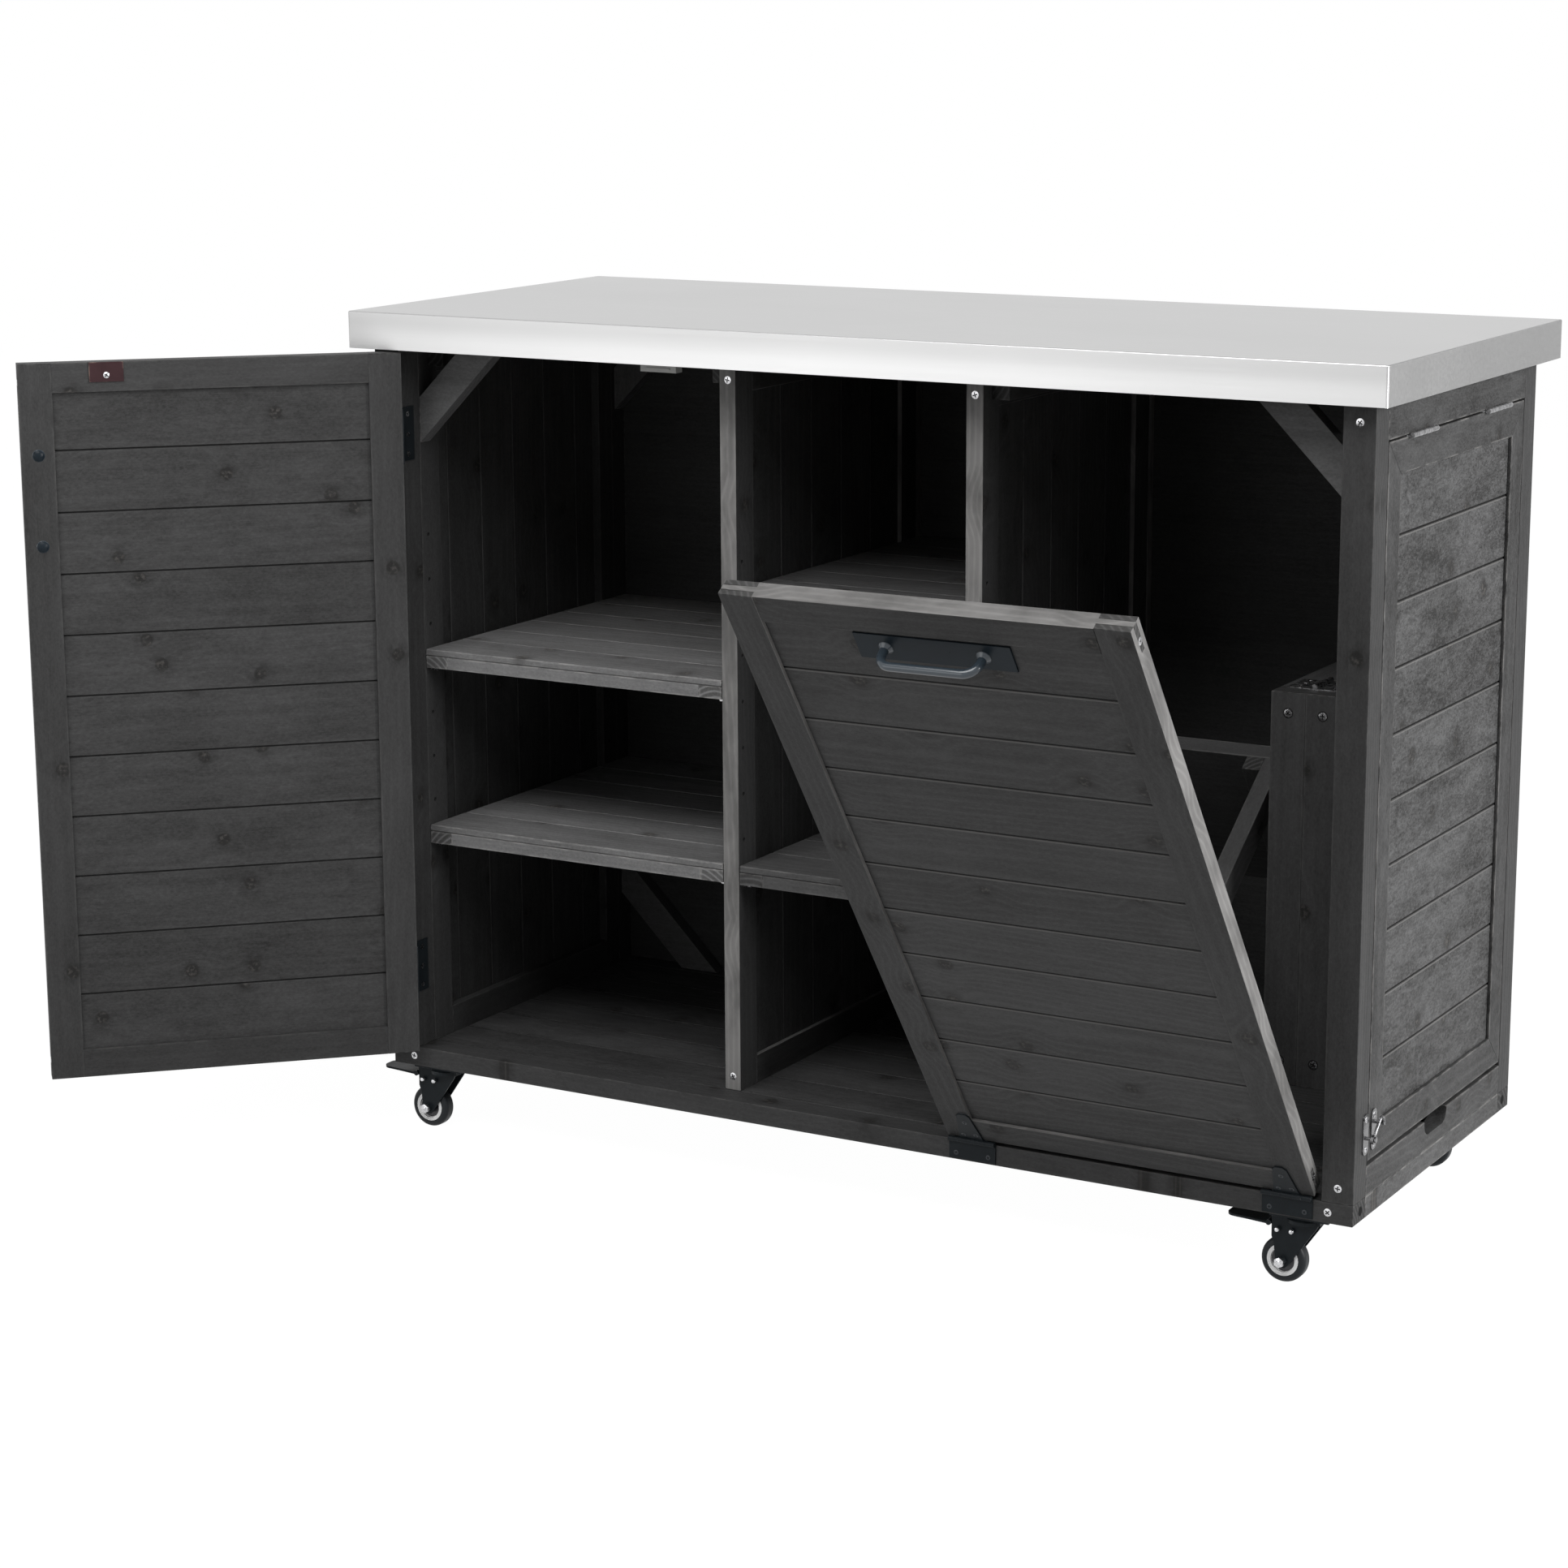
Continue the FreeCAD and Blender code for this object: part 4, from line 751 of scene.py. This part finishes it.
def screw_shape(radius, length, dome=0.12):
    """Head dome * (1 - r^2) less a cross-shaped pit painted dark as shade, then a cone down to the shank and a
    flat tip.
    It points up, and comes as corners, faces and each face's material: 1 (painted shade) in the pit, 0 elsewhere."""
    n = len(CROSS_LINES)
    a, b = np.meshgrid(CROSS_LINES, CROSS_LINES, indexing="ij")
    reach = np.maximum(abs(a), abs(b))
    share = reach / np.maximum(np.hypot(a, b), 1e-9)
    arm = (np.minimum(abs(a), abs(b)) < ARM_HALF_WIDTH) & (reach < ARM_REACH)
    height = dome * (1.0 - reach ** 2) - np.where(arm, CROSS_DEPTH * (1.25 - reach), 0.0)
    top = np.stack([a * share, b * share, height], -1).reshape(-1, 3)
    i, j = np.meshgrid(np.arange(n - 1), np.arange(n - 1), indexing="ij")
    first = (i * n + j).reshape(-1)
    faces = np.stack([first, first + n, first + n + 1, first + 1], 1).tolist()
    pit = (arm[:-1, :-1] & arm[1:, :-1] & arm[:-1, 1:] & arm[1:, 1:]).reshape(-1)
    steps = np.arange(n - 1)
    loop = np.concatenate([steps * n, (n - 1) * n + steps, (n - 1 - steps) * n + n - 1, n - 1 - steps])
    parts = [top]
    last = loop
    for depth in (-NECK_DEPTH, -length / radius):
        ring = top[loop] * [SHANK_SHARE, SHANK_SHARE, 0.0] + [0.0, 0.0, depth]
        made = np.arange(len(loop)) + sum(map(len, parts))
        parts.append(ring)
        faces += np.stack([made, np.roll(made, -1), np.roll(last, -1), last], 1).tolist()
        last = made
    faces.append(last[::-1].tolist())
    # The pit's faces take the second material, a painted shade for the recess
    dark = np.zeros(len(faces), np.int32)
    dark[:len(pit)] = pit
    return np.concatenate(parts) * radius, faces, dark


def spun(profile, sides):
    """A closed profile of (radius, height) pairs in mm, turned round Z; it starts and ends on the axis."""
    profile = np.array(profile) / 1000.0
    turn = np.arange(sides) * math.tau / sides
    rings = profile[1:-1]
    points = np.stack([rings[:, :1] * np.cos(turn), rings[:, :1] * np.sin(turn),
                       rings[:, 1:] + 0.0 * turn], -1)
    axis = np.array([[0.0, 0.0, profile[0, 1]], [0.0, 0.0, profile[-1, 1]]])
    corners = np.concatenate([axis[:1], points.reshape(-1, 3), axis[1:]])
    index = 1 + np.arange(len(rings) * sides).reshape(-1, sides)
    after = np.roll(index, -1, axis=1)
    centre = np.zeros(sides, int)
    faces = np.stack([centre, index[0], after[0]], 1).tolist()
    faces += np.stack([index[:-1], index[1:], after[1:], after[:-1]], -1).reshape(-1, 4).tolist()
    faces += np.stack([centre + len(corners) - 1, after[-1], index[-1]], 1).tolist()
    return corners, faces, np.zeros(len(faces), np.int32)


def hole_shadow_disc(radius):
    """A shallow dark dish round a sunk screw, a painted shadow in its recess; its radius in mm."""
    return spun(((0, 0), (radius, 0), (radius, -0.5), (0, -0.5)), 20)


print("faces of a screw:", len(screw_shape(0.0045, 0.024)[1]))

# %% [markdown]
# ## Putting fixings in place
# A screw sits in a known spot of a known part, such as the middle of a leaf or 21 mm below a frame's top.
# So a place is given as a share of a node's box plus a step in millimetres. It is worked out with the
# door shut, in the body's own square frame, and then turned with the door, so it holds at every angle.

# %% Put fixings in place
AXES = {"-x": (-1, 0, 0), "+x": (1, 0, 0), "-y": (0, -1, 0), "+y": (0, 1, 0), "+z": (0, 0, 1)}
SCREW_TURN = 1.02
SCREW_SMOOTH_BELOW = math.radians(32.0)


def own_box(node, which=None):
    """Lowest and highest corner of a node, or of some of its solids, in its body's own square frame."""
    places, faces, solid, owner = solids_of(node)
    local = places @ TURNS.get(BODY_OF[node], np.eye(3))
    if which is not None:
        local = local[np.isin(owner, which)]
    return local.min(0), local.max(0)


def spot(node, x, y, z, which=None):
    """A point of a node's box: x, y and z are each a share of the way across it and a step in mm."""
    low, high = own_box(node, which)
    return np.array([low[k] + go[0] * (high[k] - low[k]) + go[1] / 1000.0 for k, go in enumerate((x, y, z))])


def fixings(name, body, shape, places, finish=BRIGHT, node=None):
    """Copies of one shape, each at a point and facing along an axis of the body's own frame."""
    corners, faces, dark = shape
    turn = TURNS.get(body, np.eye(3))
    all_corners, all_faces = [], []
    for count, (point, axis) in enumerate(places):
        out = np.array(AXES[axis], float)
        side = np.roll(out, 1)
        over = np.cross(out, side)
        angle = SCREW_TURN * (count + 1)
        first = side * math.cos(angle) + over * math.sin(angle)
        axes = np.stack([first, np.cross(out, first), out])
        all_faces += [[v + len(corners) * count for v in face] for face in faces]
        all_corners.append((corners @ axes + point) @ turn.T)
    mesh = bpy.data.meshes.new(name + "_mesh")
    mesh.from_pydata(np.concatenate(all_corners).tolist(), [], all_faces)
    # Half sizes of a metre keep every point far from an edge, so a head isn't rubbed all over
    far = np.ones(len(mesh.vertices) * 3)
    mesh.attributes.new("half", "FLOAT_VECTOR", "POINT").data.foreach_set("vector", far)
    mesh.materials.append(finish)
    mesh.materials.append(RECESS_SHADE)
    mesh.polygons.foreach_set("material_index", np.tile(dark, len(places)))
    mesh.shade_smooth()
    mesh.set_sharp_from_angle(angle=SCREW_SMOOTH_BELOW)
    piece = bpy.data.objects.new(name, mesh)
    bpy.context.scene.collection.objects.link(piece)
    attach(piece, body)
    if node:
        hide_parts(node)
    print(name, len(places))
    return piece


def frame_edge_spots(node):
    """Four points on a door frame's outer edges, in line with its top and bottom rails."""
    return [(spot(node, (side, (side - 0.5) * 0.1), (0.5, 0), (end, 21 - 42 * end)), axis)
            for side, axis in ((0, "-x"), (1, "+x")) for end in (0, 1)]


def latch_spots(node):
    """Two points of a latch plate, one above and one below its middle."""
    return [(spot(node, (0, 1.6), (0.5, 0), (0.5, up)), "+x") for up in (-16, 16)]


# %% The cabinet's screws
count = len(np.unique(solids_of("body_screws")[3]))
boxes = [own_box("body_screws", [k]) for k in range(count)]
front = [(np.array([(low[0] + high[0]) / 2, low[1], (low[2] + high[2]) / 2]), "-y") for low, high in boxes]
fixings("body_screw_heads", "cabinet", screw_shape(0.0045, 0.024), front, node="body_screws")

leaf = [(spot("left_door_hinge_leaves", (0, 2.96), (0, 17), (share, 0), [k]), "+x")
        for k in (0, 2) for share in (0.12, 0.48, 0.86)]
fixings("door_hinge_screws", "cabinet", screw_shape(0.0030, 0.008, 0.02), leaf)
plates = [(spot("tilt_hinge_plates", (0.5, side), (1, -2.2), (0, 6.5), [k]), "-y")
          for k in (0, 2) for side in (-19.5, 19.5)]
fixings("tilt_hinge_plate_screws", "cabinet", screw_shape(0.0028, 0.008), plates, DULL)
fixings("latch_post_screws", "cabinet", screw_shape(0.0034, 0.008, 0.3), latch_spots("latch_post_plate"))
ends = [(spot("base_frame", (1, 0.04), (0, y), (0.5, 0)), "+x") for y in (21, 459)]
# Dark discs at the base ends: painted shadow in the screw recesses
fixings("base_end_hole_shadows", "cabinet", hole_shadow_disc(5.2), ends, RECESS_SHADE)

# %% The doors' screws
straps = [(spot("tilt_hinge_straps", (0.5, side), (1, -2.2), (0, up), [k]), "-y")
          for k in (0, 1) for side, up in ((-7.6, 12), (7.6, 13.5), (0, 34))]
fixings("tilt_strap_screws", "tilt_door", screw_shape(0.0028, 0.008), straps, DULL)
for door in ("tilt_door", "left_door"):
    name = "tilt_edge_screws" if door == "tilt_door" else "left_door_edge_screws"
    fixings(name, door, screw_shape(0.0040, 0.02), frame_edge_spots(door + "_frame"))
striker = [(spot("left_door_striker", (0.5, 0), (1, 0.1), (0, 7.3)), "+y")]
fixings("striker_screw", "left_door", screw_shape(0.0034, 0.01, 0.3), striker)

# %% The flap's and leg's screws
fixings("latch_flap_screws", "side_flap", screw_shape(0.0034, 0.008, 0.3), latch_spots("latch_flap_plate"))
posts = []
for node in ("upper_leg_frame", "lower_leg_frame"):
    for end, step in ((0, 26), (1, -22)):
        posts.append((spot(node, (0.5, 0), (0, -0.05), (end, step)), "-y"))
        posts.append((spot(node, (0.5, 0), (1, 0.05), (end, step)), "+y"))
# Dark discs round the leg screws: painted shadow in their recesses
fixings("leg_screw_hole_shadows", "folding_leg", hole_shadow_disc(5.6), posts, RECESS_SHADE)
fixings("leg_screws", "folding_leg", screw_shape(0.0044, 0.02, 0.1), posts)
fold = [(spot("leg_hinges", (0.5, side), (share, 0), (1, -4.75), [k]), "+z")
        for k in (2, 3) for side in (-19, 19) for share in (0.2, 0.5, 0.8)]
fixings("fold_hinge_screws", "folding_leg", screw_shape(0.0032, 0.008, 0.2), fold)

# %% Nuts, axle ends and rivets of the casters
NUT = ((0, 4.2), (4.6, 4.2), (5.75, 3.6), (5.75, 0), (0, 0))
AXLE_END = ((0, 5.6), (2.0, 5.5), (2.6, 5.0), (2.6, 4.1), (0, 4.1))
RIVET = ((0, 1.9), (1.2, 1.75), (2.2, 1.2), (2.75, 0), (0, 0))
for corner in ("front_left", "front_right", "back_left", "back_right"):
    body = "caster_" + corner
    low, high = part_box("fork_" + corner)
    wheel_low, wheel_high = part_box("wheel_" + corner)
    hub_x, hub_z = (wheel_low[0] + wheel_high[0]) / 2, (wheel_low[2] + wheel_high[2]) / 2
    seats = [(np.array([hub_x, y, hub_z]), axis)
             for y, axis in ((low[1] + 0.004, "-y"), (high[1] - 0.004, "+y"))]
    fixings("axle_nuts_" + corner, body, spun(NUT, 6), seats)
    fixings("axle_ends_" + corner, body, spun(AXLE_END, 16), seats)
    if corner.startswith("front"):
        heads = [(np.array([low[0] + step, y, high[2] - 0.013]), axis) for step in (0.008, 0.024)
                 for y, axis in ((low[1] + 0.0038, "-y"), (high[1] - 0.0038, "+y"))]
        fixings("fork_rivets_" + corner, body, spun(RIVET, 16), heads)

# %% [markdown]
# ## The stage
# The floor and the world are white to the camera, and light the cart evenly. A sun would be too hard:
# large soft area lamps stand where a photographer's softboxes would. Steel mirrors the whole room, so
# one corner of the room is dimmer in mirrors, which keeps the worktop's right skirt from going white.

# %% White world and floor
WORLD_LIGHT = 0.24
FLOOR_WHITE = 0.88
FLOOR_GLOW = 1.12
FLOOR_SIZE = 14.0
DIM_WAY = (0.5, 0.866, 0.0)
DIM_DROP = 0.55


def white_share(tree, way, start_at, end_at):
    """1 for camera rays. For mirrored rays it falls by DIM_DROP towards the studio's dim corner, behind
    on the right, and for all others it is 0."""
    path = tree.nodes.new("ShaderNodeLightPath")
    kinds = ("Is Camera Ray", "Is Transmission Ray", "Is Glossy Ray")
    camera, clear, glossy = [Value(tree, path.outputs[kind]) for kind in kinds]
    reach = way.node("ShaderNodeVectorMath", {0: way, 1: DIM_WAY}, 1, operation="DOT_PRODUCT")
    return camera.most(clear).most(glossy * (1.0 - reach.step(start_at, end_at) * DIM_DROP))


def white_mix(tree, share, matt, kind, strength, out):
    """What matt surfaces get where share is 0, and plain white of a strength where it is 1."""
    white = tree.nodes.new(kind)
    white.inputs["Color"].default_value = grey(1.0)
    white.inputs["Strength"].default_value = strength
    mix = tree.nodes.new("ShaderNodeMixShader")
    tree.links.new(share.socket, mix.inputs[0])
    tree.links.new(matt.outputs[0], mix.inputs[1])
    tree.links.new(white.outputs[0], mix.inputs[2])
    tree.links.new(mix.outputs[0], out.inputs[0])


def make_world():
    """The world gives plain light to matt surfaces, and is white to the camera and nearly so in mirrors."""
    world = bpy.data.worlds.new("studio")
    world.use_nodes = True
    bpy.context.scene.world = world
    tree = world.node_tree
    tree.nodes.clear()
    way = Value(tree, tree.nodes.new("ShaderNodeTexCoord").outputs["Generated"])
    light = tree.nodes.new("ShaderNodeBackground")
    light.inputs["Color"].default_value = grey(1.0)
    light.inputs["Strength"].default_value = WORLD_LIGHT
    seen = white_share(tree, way, 0.62, 0.86)
    white_mix(tree, seen, light, "ShaderNodeBackground", 1.0, tree.nodes.new("ShaderNodeOutputWorld"))


def make_floor():
    """A large pale square under the wheels; its own shade shows through a little, so the shadow stays."""
    mesh = bpy.data.meshes.new("floor_mesh")
    s = FLOOR_SIZE / 2
    mesh.from_pydata([(-s, -s, 0), (s, -s, 0), (s, s, 0), (-s, s, 0)], [], [(0, 1, 2, 3)])
    floor = bpy.data.objects.new("floor", mesh)
    bpy.context.scene.collection.objects.link(floor)
    material, shader, seed = start("pale_floor", Roughness=0.9, Specular_IOR_Level=0.0, Base_Color=grey(0.5))
    tree = material.node_tree
    share = white_share(tree, object_place(seed), 1.6, 3.4) * FLOOR_WHITE
    white_mix(tree, share, shader, "ShaderNodeEmission", FLOOR_GLOW, tree.nodes["Material Output"])
    mesh.materials.append(material)


make_world()
make_floor()
print("floor", FLOOR_SIZE, "m wide, world light", WORLD_LIGHT)


# %% Lamps
def lamp(name, place, aim, size, watts):
    """A flat lamp, as wide and high as size says, that faces a point of the cart."""
    data = bpy.data.lights.new(name, "AREA")
    data.shape = "RECTANGLE"
    data.size, data.size_y = size
    data.energy = watts
    thing = bpy.data.objects.new(name, data)
    bpy.context.scene.collection.objects.link(thing)
    thing.location = place
    away = np.array(place) - np.array(aim)
    yaw = math.atan2(away[0], -away[1])
    tip = math.atan2(math.hypot(away[0], away[1]), away[2])
    thing.rotation_euler = (tip, 0.0, yaw)
    print(name, watts, "W")


lamp("front_softbox", (-1.8, -3.9, 1.2), (0.0, 0.0, 0.6), (3.4, 2.0), 28.0)
lamp("right_softbox", (3.6, 0.2, 1.5), (0.6, 0.2, 0.5), (1.8, 1.8), 140.0)
lamp("high_softbox", (0.3, -1.9, 3.1), (0.1, 0.0, 0.6), (2.4, 1.6), 80.0)
bpy.context.scene.view_settings.view_transform = "Standard"
